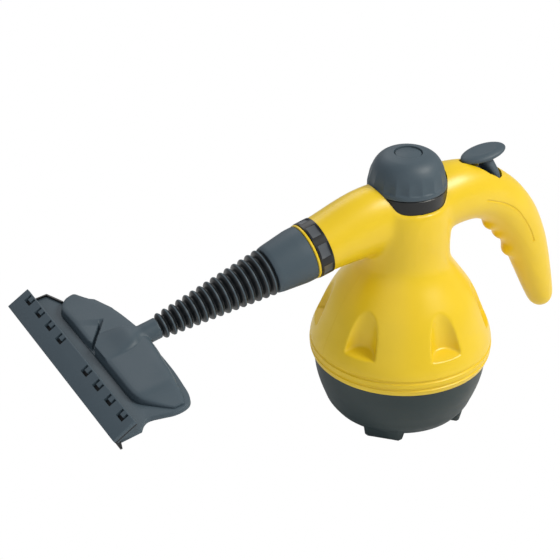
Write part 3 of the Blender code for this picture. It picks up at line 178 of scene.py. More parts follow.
# A flat outline in local XY, thickened to both sides of its plane.
def extruded(name, outline, thickness, turn=Matrix()):
    low = [(x, y, -thickness / 2) for x, y in outline]
    high = [(x, y, thickness / 2) for x, y in outline]
    return loft(name, [low, high], turn)


def ball(name, radii, turn=Matrix()):
    shape = bmesh.new()
    bmesh.ops.create_icosphere(shape, subdivisions=4, radius=1, matrix=Matrix.Diagonal((*radii, 1)))
    return asObject(name, shape, turn)


def roundedBox(name, size, turn=Matrix(), edge=0.6, segments=3):
    shape = bmesh.new()
    bmesh.ops.create_cube(shape, size=1, matrix=Matrix.Diagonal((*size, 1)))
    if edge:
        edges = shape.edges[:]
        bmesh.ops.bevel(shape, geom=edges, offset=edge, segments=segments, affect="EDGES", profile=0.5)
    return asObject(name, shape, turn)


# A round tube along points, closed at both ends.
def tubeAlong(name, points, radius, sides=12):
    rings = []
    for number, place in enumerate(points):
        ahead = points[min(number + 1, len(points) - 1)] - points[max(number - 1, 0)]
        turn = ahead.to_track_quat("Z", "Y")
        ring = [Vector((radius * math.cos(angle), radius * math.sin(angle), 0)) for angle in around(sides)]
        rings.append([place + turn @ point for point in ring])
    return loft(name, rings)


# Gives the faces whose middle passes the test this material number.
def painted(made, number, test):
    for face in made.data.polygons:
        if test(face.center):
            face.material_index = number
    return made


# Applies an object's modifiers to its mesh.
def settled(made):
    graph = bpy.context.evaluated_depsgraph_get()
    mesh = bpy.data.meshes.new_from_object(made.evaluated_get(graph))
    made.modifiers.clear()
    made.data = mesh
    return made


# Joins, cuts or keeps with other closed objects, which are used up.
def combined(made, others, operation):
    for other in others:
        modifier = made.modifiers.new(other.name, "BOOLEAN")
        modifier.operation = operation
        modifier.solver = "MANIFOLD"
        modifier.object = other
    settled(made)
    for other in others:
        bpy.data.objects.remove(other, do_unlink=True)
    return made


# One even skin over an object, softened at its edges.
def melted(made, voxel, rounds):
    remesh = made.modifiers.new("remesh", "REMESH")
    remesh.mode = "VOXEL"
    remesh.voxel_size = voxel
    smooth = made.modifiers.new("smooth", "SMOOTH")
    smooth.factor = 0.5
    smooth.iterations = rounds
    return settled(made)


# Turns a piece to metres, shades it, and ties it to its body, nodes and slot.
def finished(made, name, body, nodes, materials, sharp=35, bevel=0):
    made.name = name
    made.data.name = name
    if bevel:
        edge = made.modifiers.new("bevel", "BEVEL")
        edge.width = bevel
        edge.segments = 3
        edge.limit_method = "ANGLE"
        edge.angle_limit = math.radians(40)
        settled(made)
    made.data.transform(toFrame)
    made.data.shade_smooth()
    made.data.set_sharp_from_angle(angle=math.radians(sharp))
    numbers = [face.material_index for face in made.data.polygons]
    made.data.materials.clear()
    for material in materials:
        made.data.materials.append(material)
    made.data.polygons.foreach_set("material_index", numbers)
    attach(made, body)
    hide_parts(*nodes)
    return made


print("stage: materials")


# sRGB hex to the linear colour that shaders take.
def fromHex(colour):
    channels = [int(colour[place:place + 2], 16) / 255 for place in (0, 2, 4)]
    return tuple(c / 12.92 if c <= 0.04045 else ((c + 0.055) / 1.055) ** 2.4 for c in channels) + (1.0,)


# One node with its settings, by attribute name or socket, and its links.
def addNode(tree, kind, settings=None, links=None):
    node = tree.nodes.new(kind)
    for key, value in (settings or {}).items():
        if hasattr(node, str(key)):
            setattr(node, key, value)
        else:
            node.inputs[key].default_value = value
    for key, source in (links or {}).items():
        tree.links.new(source, node.inputs[key])
    return node


# Colour and gloss drift over patches of this many millimetres; the gloss by this share of the roughness.
drift = {"patch": 30, "gloss": 0.25}


# A finish whose colour and gloss drift slowly, with a fine relief; grain and depth are in millimetres.
def finish(name, light, dark, rough, grain, depth, ior=1.5, metallic=0.0, stretch=(1, 1, 1)):
    material = bpy.data.materials.new(name)
    material.use_nodes = True
    tree = material.node_tree
    shader = tree.nodes["Principled BSDF"]
    place = addNode(tree, "ShaderNodeTexCoord").outputs["Object"]
    wide = {"Scale": 1000 / drift["patch"], "Detail": 3.0, "Roughness": 0.55}
    slow = addNode(tree, "ShaderNodeTexNoise", wide, {"Vector": place}).outputs["Fac"]
    colours = {"data_type": "RGBA", 6: fromHex(dark), 7: fromHex(light)}
    colour = addNode(tree, "ShaderNodeMix", colours, {0: slow})
    tree.links.new(colour.outputs[2], shader.inputs["Base Color"])
    limits = {"To Min": rough * (1 - drift["gloss"]), "To Max": rough * (1 + drift["gloss"])}
    gloss = addNode(tree, "ShaderNodeMapRange", limits, {"Value": slow})
    tree.links.new(gloss.outputs["Result"], shader.inputs["Roughness"])
    drawn = addNode(tree, "ShaderNodeMapping", {"Scale": stretch}, {"Vector": place}).outputs["Vector"]
    narrow = {"Scale": 1000 / grain, "Detail": 2.0, "Roughness": 0.6}
    fine = addNode(tree, "ShaderNodeTexNoise", narrow, {"Vector": drawn}).outputs["Fac"]
    relief = addNode(tree, "ShaderNodeBump", {"Strength": 1.0, "Distance": depth / 1000}, {"Height": fine})
    tree.links.new(relief.outputs["Normal"], shader.inputs["Normal"])
    shader.inputs["IOR"].default_value = ior
    shader.inputs["Metallic"].default_value = metallic
    return material


# The real grains are about 0.1 mm, too fine to show, so they are drawn at 0.4 mm and coarser.
# Yellow ABS, moulded in a polished tool: a satin skin whose gloss drifts a little over its curves.
yellowAbs = finish("yellow_moulded_abs", "EFCB1C", "E8C218", 0.34, 0.8, 0.006, ior=1.53)
# Slate polypropylene, moulded in a spark-eroded tool: a grain that keeps highlights broad and dull.
slatePlastic = finish("slate_grained_polypropylene", "45545D", "3E4C55", 0.54, 0.7, 0.02, ior=1.49)
# Blow-moulded polyethylene of the hose: near black and a little glossy; the thin light line on each rib is
# a painted highlight, drawn as a band of the slate finish along the crest.
hoseBlack = finish("hose_dark_polyethylene", "161B1F", "111518", 0.36, 0.9, 0.01, ior=1.51)
# Dark green-grey ABS of the base, moulded with the same eroded grain: soft, even shade.
basePlastic = finish("base_grained_abs", "1B2F31", "182A2C", 0.46, 0.7, 0.02, ior=1.53)
# Black nylon of collar and nozzle band, moulded smooth: near black with a tight satin highlight.
blackPlastic = finish("black_satin_plastic", "08090B", "060708", 0.34, 0.9, 0.006, ior=1.5)
# The band's sunk panels, moulded in grey: they catch a flat grey light.
windowGrey = finish("grey_band_panel", "55595D", "4D5155", 0.32, 0.9, 0.006, ior=1.5)
# Moulded rubber of feet, gland and blade: matt and slightly dusty.
blackRubber = finish("black_matt_rubber", "1E2022", "18191B", 0.75, 1.2, 0.03, ior=1.52)
# Moulded silicone of gaskets and seals: soft, dull red.
redSilicone = finish("red_silicone", "B0432F", "A33C29", 0.55, 1.5, 0.01, ior=1.41)
# Die-cast aluminium of the boiler: a sandy as-cast skin.
castAluminium = finish("cast_aluminium", "C9CACC", "B5B6B8", 0.5, 1.0, 0.06, metallic=1.0)
# Zinc-plated steel of screws, pin, springs and heating tube: a thin bright plating.
zincSteel = finish("zinc_plated_steel", "C4C6C8", "B6B8BB", 0.3, 0.4, 0.004, metallic=1.0)
# Turned brass of valve, neck, jet and relief pin: the faint rings of the turning tool.
ringsOnly = (0.1, 0.1, 1)
turnedBrass = finish("turned_brass", "D8B26A", "C9A158", 0.28, 0.5, 0.01, metallic=1.0, stretch=ringsOnly)
# Extruded fluoroplastic of the steam tubes and the fuse: smooth and waxy.
whiteTube = finish("white_fluoroplastic", "E4E4DF", "DAD9D3", 0.35, 2.0, 0.004, ior=1.36)
slotFinish = {
    "yellow_shell": yellowAbs,
    "slate_plastic": slatePlastic,
    "base_grey": basePlastic,
    "black_plastic": blackPlastic,
    "black_rubber": blackRubber,
    "silicone": redSilicone,
    "cast_aluminium": castAluminium,
    "zinc_steel": zincSteel,
    "turned_brass": turnedBrass,
    "white_tube": whiteTube,
}
for row in frame["record"]["subparts"]:
    mesh = frame["nodes"][row["node"]].data
    mesh.materials.clear()
    mesh.materials.append(slotFinish[row["material_slot"]])
    mesh.shade_smooth()
    mesh.set_sharp_from_angle(angle=math.radians(30))

print("stage: camera and light")
view = {
    "lens": 102.9,
    "sensor": 36,
    "place": (-0.53564, -0.8939, 0.7575),
    "right": (0.8743, -0.4854, 0),
    "up": (0.2485, 0.4476, 0.8590),
    "back": (-0.4170, -0.7510, 0.5119),
}
camera = bpy.data.objects.new("camera", bpy.data.cameras.new("camera"))
stage.objects.link(camera)
camera.data.lens = view["lens"]
camera.data.sensor_width = view["sensor"]
cameraTurn = Matrix((view["right"], view["up"], view["back"])).transposed().to_4x4()
camera.matrix_world = Matrix.Translation(view["place"]) @ cameraTurn
bpy.context.scene.camera = camera
bpy.context.scene.view_settings.view_transform = "Standard"

studio = {
    "sky": ("F4F6FA", 0.46),
    "paper": ("F2F2F2", 0.9, 3),  # colour, roughness and half its side in metres
    "aim": (0, 0, 0.1),
    "key": {"at": (0.85, -0.8, 1.35), "size": 0.5, "energy": 19, "colour": "FFFDF6"},
    "fill": {"at": (-0.9, -0.9, 0.8), "size": 1.2, "energy": 2.5, "colour": "F6F9FF"},
    "back": {"at": (0.2, 1.1, 1.2), "size": 0.8, "energy": 4, "colour": "FFFFFF"},
}


# White to the camera's own rays, and this shader to all the others.
def whiteToCamera(tree, kind, shader, surface):
    white = addNode(tree, kind, {"Color": (1, 1, 1, 1), "Strength": 1.0})
    isCamera = addNode(tree, "ShaderNodeLightPath").outputs["Is Camera Ray"]
    links = {0: isCamera, 1: shader.outputs[0], 2: white.outputs[0]}
    choice = addNode(tree, "ShaderNodeMixShader", None, links)
    tree.links.new(choice.outputs[0], surface)


world = bpy.data.worlds.new("studio")
bpy.context.scene.world = world
world.use_nodes = True
sky = world.node_tree.nodes["Background"]
skyColour, skyStrength = studio["sky"]
sky.inputs["Color"].default_value = fromHex(skyColour)
sky.inputs["Strength"].default_value = skyStrength
skySurface = world.node_tree.nodes["World Output"].inputs["Surface"]
whiteToCamera(world.node_tree, "ShaderNodeBackground", sky, skySurface)

for name in ("key", "fill", "back"):
    lamp = studio[name]
    light = bpy.data.lights.new(name, "AREA")
    light.energy = lamp["energy"]
    light.size = lamp["size"]
    light.color = fromHex(lamp["colour"])[:3]
    made = bpy.data.objects.new(name, light)
    stage.objects.link(made)
    made.location = lamp["at"]
    aim = Vector(studio["aim"]) - made.location
    made.rotation_euler = aim.to_track_quat("-Z", "Y").to_euler()

paperColour, paperRough, paperHalf = studio["paper"]
paper = bpy.data.materials.new("white_paper_floor")
paper.use_nodes = True
matt = paper.node_tree.nodes["Principled BSDF"]
matt.inputs["Base Color"].default_value = fromHex(paperColour)
matt.inputs["Roughness"].default_value = paperRough
paperSurface = paper.node_tree.nodes["Material Output"].inputs["Surface"]
whiteToCamera(paper.node_tree, "ShaderNodeEmission", matt, paperSurface)
grid = bmesh.new()
bmesh.ops.create_grid(grid, x_segments=1, y_segments=1, size=paperHalf)
floor = asObject("floor", grid)
floor.data.materials.append(paper)

print("stage: housing")
housing = {
    "side": [  # (radius, height) up the round body
        (70.0, 55.3), (72.2, 58.5), (72.5, 63), (72.2, 68.5), (71, 74), (69.2, 79), (66.8, 85),
        (64.3, 91), (61.5, 98), (58.3, 105), (54.4, 112), (49.5, 119), (44.4, 126), (39.5, 133),
        (36.3, 140), (35.2, 150), (35.3, 165), (34.7, 178), (33, 190.5),
    ],
    "sidePoints": 90,
    "floor": 41.3,
    "top": 190.5,
    "spoutRadius": 21.8,
    "spoutOver": 14,
    "spoutRoot": (-38, 177.5, 27.3, 22.7),  # x, z, half height and half width
    "handle": [  # x, z, half height and half width from the shoulder to the tip
        (0, 180, 27, 24.8), (24.1, 182, 26.5, 24.8), (44, 183.4, 25.5, 23.1), (62.5, 180.5, 23.5, 21.1),
        (79.5, 172, 21.1, 18.9), (93.7, 160, 19.8, 18), (105.8, 143.9, 19.2, 17), (116, 124, 18, 16.1),
        (123, 106, 16.6, 15), (129.9, 87, 14.4, 13.5), (135.6, 71.2, 12.3, 11.9), (139.4, 60.5, 10.1, 10.2),
        (141.3, 55.4, 5.4, 6.2),
    ],
    "armPoints": 110,
    "armSides": 72,
    "bump": 8.0,
    "bumpPlaces": (0.53, 0.60, 0.67),  # shares of the way along the arm
    "bumpInset": 0.80,
    "wall": 3.9,
    "joint": 55.3,
    "beads": (61.3, 67.7),
    "beadRadius": 1.7,
    "beadMiddle": 72.8,
    "beadSides": 16,
    "beadSteps": 192,
    "opening": [(47.8, 2.5), (60.6, 9.2), (67.7, 12.6), (76.8, 13.4), (81, 10.8), (83.6, 6), (84.3, 0)],
    "openingMiddle": 209.5,
    "openingDeep": 60,
    "crease": [(60.7, 181), (79.8, 172.2), (92.3, 163.2), (101.2, 152.3), (108.8, 140.3), (114.2, 128.1)],
    "creaseSide": 1.0,
    "creaseLift": 0.35,
    "creaseFrom": 90,
    "creasePoints": 40,
    "screws": ((132.1, 80.1), (93.0, 160.4), (-48.1, 163.3), (-58.0, 90.2), (58.0, 90.2)),
    "boss": (4.2, -70, 70),  # this and the next five are radius, start and end
    "seat": (27.3, -18.3, 4),
    "socketHole": (17.8, -20.3, 5),
    "collarHole": (30.6, 177.7, 240),
    "pocket": (3.0, 9.7, 90),
    "screwHole": (1.7, -10, 20),
    "below": 60,
    "ahead": (90, 90, 40),
    "seam": 0.05,
}
recess = {
    "count": 6,
    "first": 29,
    "radius": 13.8,
    "back": 56.0,
    "height": 86.9,
    "slope": 27,
    "lean": 7,
    "tall": 42,
    "wall": 2.6,
    "sides": 48,
}
melt = {  # voxel size, and rounds of smoothing
    "form": (2.2, 10),
    "edges": ((0.95, 4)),
    "hollow": (3.0, 6),
}
clear = 300  # larger than the part, for blocks that cut it


# Centre, half height and half width along the spout, the shoulder and the handle.
def armStations(inset):
    end = spoutFrame.translation
    ahead = spoutFrame.col[2].xyz
    radius = housing["spoutRadius"]
    stations = [(end + ahead * housing["spoutOver"], radius, radius), (end, radius, radius)]
    for x, z, tall, wide in [housing["spoutRoot"]] + housing["handle"]:
        stations.append((Vector((x, 0, z)), tall, wide))
    if inset:
        stations = stations[:-2]
    return [(centre, tall - inset, wide - inset) for centre, tall, wide in stations]


# Finger bumps: balls sunk into the handle's inner side.
def fingerBumps(stations):
    bumps = []
    for place in housing["bumpPlaces"]:
        station = place * (len(stations) - 1)
        centre, tall, _ = stations[int(station)]
        after = stations[int(station) + 1][0]
        direction = (after - centre).normalized()
        where = centre.lerp(after, station - int(station))
        where = where + Vector((direction.z, 0, -direction.x)) * tall * housing["bumpInset"]
        bumps.append(ball("bump", (housing["bump"],) * 3, Matrix.Translation(where)))
    return bumps


# The round body and the arm melted into one skin.
def bodyForm(name, inset, voxel, rounds):
    side = [(radius - inset, z) for radius, z in housing["side"]]
    fine = spreadFlat(side, housing["sidePoints"])
    top = housing["top"] - inset
    fine[-1] = (fine[-1][0], top)
    form = lathe(name, [(0, housing["floor"]), (side[0][0], housing["floor"])] + fine + [(0, top)])
    stations = armStations(inset)
    count = housing["armPoints"]
    path = spread([(*centre, tall) for centre, tall, _ in stations], count)
    widths = spread([(wide, 0) for _, _, wide in stations], count)
    rings = []
    for index, point in enumerate(path):
        direction = (path[min(index + 1, count - 1)].xyz - path[max(index - 1, 0)].xyz).normalized()
        up = Vector((-direction.z, 0, direction.x)) * point.w
        side = Vector((0, widths[index].x, 0))
        ring = around(housing["armSides"])
        rings.append([point.xyz + up * math.cos(angle) + side * math.sin(angle) for angle in ring])
    others = [loft(name + "_arm", rings)]
    if not inset:
        others += fingerBumps(stations)
    combined(form, others, "UNION")
    return melted(form, voxel, rounds)


# The hollows round the body: a round back that leans in, over a sloping ledge.
def recesses(grow):
    radius = recess["radius"] + grow
    slope = math.radians(recess["slope"])
    rings = [[], []]
    for angle in around(recess["sides"]):
        x = radius * math.cos(angle)
        y = radius * math.sin(angle)
        rings[0].append((x, y, -(x + recess["radius"]) * math.tan(slope) - grow / math.cos(slope)))
        rings[1].append((x, y, recess["tall"]))
    lean = moved(recess["back"] + recess["radius"], 0, recess["height"]) @ turned(-recess["lean"], "Y")
    first = math.radians(recess["first"])
    turns = [Matrix.Rotation(first + angle, 4, "Z") for angle in around(recess["count"])]
    return [loft("recess", rings, turn @ lean) for turn in turns]


# A fine crease along one side of the handle, laid on the skin.
def creaseAlong(skin, side):
    solid = skin.evaluated_get(bpy.context.evaluated_depsgraph_get())
    points = []
    for x, z in spreadFlat(housing["crease"], housing["creasePoints"]):
        place = solid.ray_cast(Vector((x, side * housing["creaseFrom"], z)), Vector((0, -side, 0)))[1]
        points.append(place + Vector((0, side * housing["creaseSide"] * housing["creaseLift"], 0)))
    return tubeAlong("crease", points, housing["creaseSide"])


# The groove between two beads, round the body.
def beadGroove(z):
    radius = housing["beadRadius"]
    middle = housing["beadMiddle"]
    ring = around(housing["beadSides"])
    circle = [(middle + radius * math.cos(angle), z + radius * math.sin(angle)) for angle in ring]
    return lathe("groove", circle, steps=housing["beadSteps"])


skin = bodyForm("skin", 0, *melt["form"])
combined(skin, recesses(0), "DIFFERENCE")
melted(skin, *melt["edges"])
hollow = bodyForm("hollow", housing["wall"], *melt["hollow"])
bosses = [rod("boss", *housing["boss"], across(*place)) for place in housing["screws"]]
seat = rod("seat", *housing["seat"], spoutFrame)
combined(hollow, recesses(recess["wall"]) + bosses + [seat], "DIFFERENCE")
cuts = [hollow, rod("socket_hole", *housing["socketHole"], spoutFrame)]
cuts.append(rod("collar_hole", *housing["collarHole"], steps=128))
belowTurn = moved(z=housing["joint"] - housing["below"] / 2)
cuts.append(roundedBox("below", (clear, clear, housing["below"]), belowTurn, 0))
cuts.append(roundedBox("ahead", housing["ahead"], spoutFrame @ moved(z=housing["ahead"][2] / 2), 0))
opening = housing["opening"] + [(x, -y) for x, y in housing["opening"][-2::-1]]
cuts.append(extruded("trigger_opening", opening, housing["openingDeep"], moved(z=housing["openingMiddle"])))
cuts += [creaseAlong(skin, -1), creaseAlong(skin, 1)]
cuts += [beadGroove(z) for z in housing["beads"]]
for place in housing["screws"]:
    cuts.append(rod("pocket", *housing["pocket"], across(*place), 32))
    cuts.append(rod("screw_hole", *housing["screwHole"], across(*place), 24))
combined(skin, cuts, "DIFFERENCE")
for name, side in (("housing_left", -1), ("housing_right", 1)):
    half = bpy.data.objects.new(name, skin.data.copy())
    stage.objects.link(half)
    keepTurn = moved(y=side * (clear / 2 + housing["seam"]))
    keep = roundedBox("keep", (2 * clear, clear, 2 * clear), keepTurn, 0)
    combined(half, [keep], "INTERSECT")
    finished(half, name + "_shell", "unit", [name], [yellowAbs], sharp=40)
bpy.data.objects.remove(skin, do_unlink=True)

print("stage: base and feet")
base = {
    "side": [(54, 8), (58.5, 14.1), (61, 20.1), (64, 28.2), (66.3, 36.2), (67.8, 44.2), (68.8, 55.1)],
    "sidePoints": 28,
    "sideTop": 54.4,
    "floor": 8,
    "wall": 2.8,
    "lip": [(62.9, 54), (62.9, 74.2), (64.9, 74.2), (64.9, 55.1), (68.3, 55.1), (68.8, 54.6)],
    "footAt": 46.0,
    "footSize": (16.5, 33),
    "footFrom": 1.8,
    "footTo": 16,
    "footTaper": 0.92,
    "footSlant": 2.5,
    "footCorner": 3.5,
    "post": (4.2, 8.5, 74),
    "postAt": 47.5,
    "padSize": (12.0, 26.0, 1.5),
    "padEdge": 0.5,
}
baseSide = spreadFlat(base["side"], base["sidePoints"])
baseWall = base["wall"]
inside = [(radius - baseWall, z) for radius, z in baseSide[4:-2]]
outline = [(0, base["floor"] + baseWall), (baseSide[0][0] - baseWall, base["floor"] + baseWall)] + inside
outline += base["lip"] + [(radius, z) for radius, z in baseSide[::-1] if z < base["sideTop"]]
outline += [(baseSide[0][0] - 1, base["floor"]), (0, base["floor"])]
bowl = lathe("bowl", outline, steps=160)


# A rectangle with round corners, as one ring of a foot.
def footRing(share, shift, z):
    x, y = (size / 2 * share for size in base["footSize"])
    corner = base["footCorner"]
    ring = []
    for cornerX, cornerY, start in ((x, y, 0), (-x, y, 90), (-x, -y, 180), (x, -y, 270)):
        for step in range(5):
            angle = math.radians(start + 22.5 * step)
            inX = cornerX - math.copysign(corner, cornerX) + corner * math.cos(angle)
            inY = cornerY - math.copysign(corner, cornerY) + corner * math.sin(angle)
            ring.append((inX + shift, inY, z))
    return ring


feet = []
for number in range(4):
    outward = turned(45 + 90 * number)
    ray = outward @ moved(base["footAt"], 0, 0)
    rings = [footRing(base["footTaper"], 0, base["footFrom"])]
    rings.append(footRing(1, base["footSlant"], base["footTo"]))
    feet.append(loft("foot", rings, ray))
    feet.append(rod("post", *base["post"], outward @ moved(base["postAt"])))
    pad = roundedBox("pad", base["padSize"], ray @ moved(z=base["padSize"][2] / 2), base["padEdge"])
    node = f"foot_pad_{number + 1}"
    finished(pad, node + "_shape", "unit", [node], [blackRubber])
combined(bowl, feet, "UNION")

gland = {
    "turn": 75,
    "height": 26,
    "hole": (5.4, 55, 72),
    "flange": [
        (3.1, 59.5), (5.2, 59.5), (5.2, 64.5), (7.4, 64.5), (7.8, 65.2), (7.8, 67.3), (7.3, 67.9),
        (5.4, 68.4),
    ],
    "ribs": 4,
    "ribsFrom": 69.2,
    "ribPitch": 2.4,
    "rib": [(5.0, 0), (5.0, 0.9), (4.4, 1.1), (4.4, 2.1)],
    "end": [(4.3, 80.0), (3.9, 80.5), (3.1, 80.5)],
}
glandTurn = turned(gland["turn"]) @ moved(z=gland["height"]) @ turned(90, "Y")
combined(bowl, [rod("gland_hole", *gland["hole"], glandTurn, 48)], "DIFFERENCE")
finished(bowl, "base_bowl", "unit", ["base"], [basePlastic], bevel=0.35)

print("stage: cord gland")
outline = list(gland["flange"])
for number in range(gland["ribs"]):
    start = gland["ribsFrom"] + gland["ribPitch"] * number
    outline += [(radius, start + z) for radius, z in gland["rib"]]
boot = lathe("gland", outline + gland["end"], glandTurn, 64)
finished(boot, "cord_gland_boot", "unit", ["cord_gland"], [blackRubber])

print("stage: cap and collar")
cap = {
    "disc": [(0, 226.9), (9.6, 226.9), (9.9, 226.7), (10.1, 225.6), (10.7, 225.6), (10.8, 227.4)],
    "side": [
        (10.9, 227.7), (12.7, 227.4), (18.8, 225.6), (23.9, 221.4), (27.9, 213.9), (29.7, 206.2),
        (30.2, 203.2),
    ],
    "sidePoints": 60,
    "rim": [(30.3, 202.6), (30.3, 201.5), (30.0, 201.2), (28.1, 201.2)],
    "inside": [
        (28.0, 206), (25.5, 213), (21.5, 219.5), (14, 222), (11.9, 222), (11.9, 200.9), (9.7, 200.9),
        (9.7, 218.2), (5.0, 218.2), (5.0, 211.5), (0, 211.5),
    ],
    "flutes": 18,
    "fluteDepth": 0.85,
    "fluteRise": (204.6, 217.5),
    "fluteReach": 22,
    "fluteRun": 0.8,
    "fluteWidth": 0.9,
}


# Shallow grips round the cap's lower half, fading out upwards.
def fluted(radius, z, angle):
    low, high = cap["fluteRise"]
    if radius < cap["fluteReach"] or not low < z < high:
        return radius
    fade = min(1, (z - low) / cap["fluteRun"]) * (1 - ((z - low) / (high - low)) ** 2)
    wave = abs(math.sin(angle * cap["flutes"] / 2)) ** cap["fluteWidth"]
    return radius - cap["fluteDepth"] * fade * wave


outline = cap["disc"] + spreadFlat(cap["side"], cap["sidePoints"]) + cap["rim"] + cap["inside"]
dome = lathe("dome", outline, steps=288, radiusAt=fluted)
finished(dome, "cap_dome_shell", "cap_body", ["cap_dome"], [slatePlastic], sharp=50)
collar = {
    "outline": [
        (30.0, 200.7), (30.3, 200.4), (30.3, 178.0), (17.2, 178.0), (17.2, 189.2), (23.7, 189.2),
        (23.7, 200.7),
    ],
}
ring = lathe("collar", collar["outline"], steps=160)
finished(ring, "filler_collar_ring", "unit", ["filler_collar"], [blackPlastic])

print("stage: trigger")
trigger = {
    "hinge": (43.5, 193.5),
    "pad": (69.2, 210.4),
    "padRadii": (19.5, 11.5, 4.2),
    "tilt": 8,
    "dishRadii": (17.4, 9.7, 1.9),
    "dishRise": 4.6,
    "thickness": 14.4,
    "lever": [
        (0, 3.6), (-2.6, 2.5), (-3.6, 0), (-2.6, -2.5), (0, -3.6), (10.3, -4.2), (22.6, -4.2),
        (28.3, -6.2), (37, -7.0), (36, -2), (30, 2), (12, 4.4),
    ],
    "stem": [  # height, front, rear and half width
        (187.5, 72, 82, 11.6), (191, 71.5, 82.3, 12.2), (195, 70.5, 81.6, 11.4), (199, 69, 80.2, 9.4),
        (203, 67.2, 78.4, 7.2), (206, 66, 77, 6.0), (209, 64.5, 76.5, 6.2),
    ],
    "stemPoints": 24,
    "stemSides": 48,
    "bore": (1.7, -20, 20),
}
padTurn = moved(trigger["pad"][0], 0, trigger["pad"][1]) @ turned(-trigger["tilt"], "Y")
pad = ball("pad", trigger["padRadii"], padTurn)
combined(pad, [ball("dish", trigger["dishRadii"], padTurn @ moved(z=trigger["dishRise"]))], "DIFFERENCE")
lever = extruded("lever", trigger["lever"], trigger["thickness"], upright(*trigger["hinge"]))
stem = [(z, (front + rear) / 2, (rear - front) / 2, wide) for z, front, rear, wide in trigger["stem"]]
rings = []
for z, middle, reach, wide in spread(stem, trigger["stemPoints"]):
    ring = around(trigger["stemSides"])
    rings.append([(middle + reach * math.cos(angle), wide * math.sin(angle), z) for angle in ring])
combined(pad, [lever, loft("stem", rings)], "UNION")
combined(pad, [rod("trigger_bore", *trigger["bore"], across(*trigger["hinge"]), 32)], "DIFFERENCE")
finished(
    pad, "trigger_lever", "trigger_body", ["trigger"], [slatePlastic],
    sharp=30, bevel=0.4,
)

print("stage: nozzle band")
nozzle = {
    "outline": [
        (21.9, 11.2), (22.2, 10.9), (22.2, 0.4), (21.9, 0.2), (17.5, 0.2), (17.5, -18), (3.7, -18),
        (3.7, -15.8), (15, -15.8), (15, 11.2),
    ],
    "windows": 8,
    "windowSize": (2.2, 10.5, 8.0),
    "windowAt": (22.2, 5.6),
    "windowEdge": 0.4,
    "panelReach": (20.6, 21.8),
    "panelSpan": (1.7, 9.5),
}
band = lathe("band", nozzle["outline"], spoutFrame, 160)
windowReach, windowRise = nozzle["windowAt"]
windows = []
for number in range(nozzle["windows"]):
    ray = spoutFrame @ turned(360 / nozzle["windows"] * (number + 0.5)) @ moved(windowReach, 0, windowRise)
    windows.append(roundedBox("window", nozzle["windowSize"], ray, nozzle["windowEdge"], 2))
combined(band, windows, "DIFFERENCE")
intoSpout = spoutFrame.inverted()


def inWindow(middle):
    local = intoSpout @ middle
    near, far = nozzle["panelReach"]
    low, high = nozzle["panelSpan"]
    return near < math.hypot(local.x, local.y) < far and low < local.z < high


painted(band, 1, inWindow)
bandFinishes = [blackPlastic, windowGrey]
finished(band, "nozzle_socket_band", "unit", ["nozzle_socket"], bandFinishes, sharp=40)

print("stage: lock ring and cuff")
lockRing = {"outline": [(14.2, 11.4), (21.3, 11.4), (21.8, 11.9), (21.8, 12.9), (21.3, 13.4), (14.2, 13.4)]}
ring = lathe("ring", lockRing["outline"], spoutFrame, 160)
finished(ring, "lock_ring_band", "extension_body", ["lock_ring"], [yellowAbs])
cuff = {
    "outline": [
        (17.6, 45), (18.1, 44.5), (18.9, 41), (21.3, 21.5), (21.4, 19.5), (21.4, 14.2), (21.0, 13.8),
        (14, 13.8), (14, -0.9), (12.8, -0.9), (12.8, -2.9), (14, -2.9), (14, -5.1), (7.8, -5.1),
        (7.8, 33.9), (12.6, 33.9), (12.6, 45),
    ],
}
cone = lathe("cuff", cuff["outline"], spoutFrame, 160)
finished(cone, "cuff_cone", "extension_body", ["cuff"], [slatePlastic])

print("stage: ribbed hose")
hose = {
    "span": (45.3, 137.8),
    "ribs": 15,
    "crests": (18.2, 9.8),
    "depth": 3.1,
    "bore": 5.2,
    "spigot": (12.4, 11),  # radius and length inside the cuff
    "valley": 0.1,
    "ribSteps": 12,
    "roundness": 0.65,
    # The last measure is how far below each crest the painted highlight reaches, in millimetres.
    "paintedHighlightReach": 0.12,
}
hoseLow, hoseHigh = hose["span"]
pitch = (hoseHigh - hoseLow) / hose["ribs"]
spigot, spigotLong = hose["spigot"]
valley = hose["valley"]


def crestOf(number):
    share = number / (hose["ribs"] - 1)
    return hose["crests"][0] * (1 - share) + hose["crests"][1] * share


# How far a rib has risen at this share of its pitch, from valley to crest and back.
def ribRise(place):
    if not valley < place < 1 - valley:
        return 0
    return max(0.0, math.sin(math.pi * (place - valley) / (1 - 2 * valley))) ** hose["roundness"]


# Faces along each rib's crest, which get the lighter slate finish as a painted highlight.
def inCrestHighlight(middle):
    local = intoSpout @ middle
    crest = crestOf(int((local.z - hoseLow) / pitch))
    return math.hypot(local.x, local.y) > crest - hose["paintedHighlightReach"]


outline = [(hose["bore"], hoseLow - spigotLong), (spigot, hoseLow - spigotLong), (spigot, hoseLow)]
for number in range(hose["ribs"]):
    for step in range(hose["ribSteps"]):
        place = step / hose["ribSteps"]
        radius = crestOf(number) - hose["depth"] * (1 - ribRise(place))
        outline.append((radius, hoseLow + pitch * (number + place)))
outline += [(hose["crests"][1] - hose["depth"], hoseHigh), (hose["bore"], hoseHigh)]
# The hose, with a painted highlight in slate along each crest.
skinned = painted(lathe("hose", outline, spoutFrame, 128), 1, inCrestHighlight)
hoseAndPaintedHighlight = [hoseBlack, slatePlastic]
finished(skinned, "ribbed_hose_skin", "extension_body", ["ribbed_hose"], hoseAndPaintedHighlight)

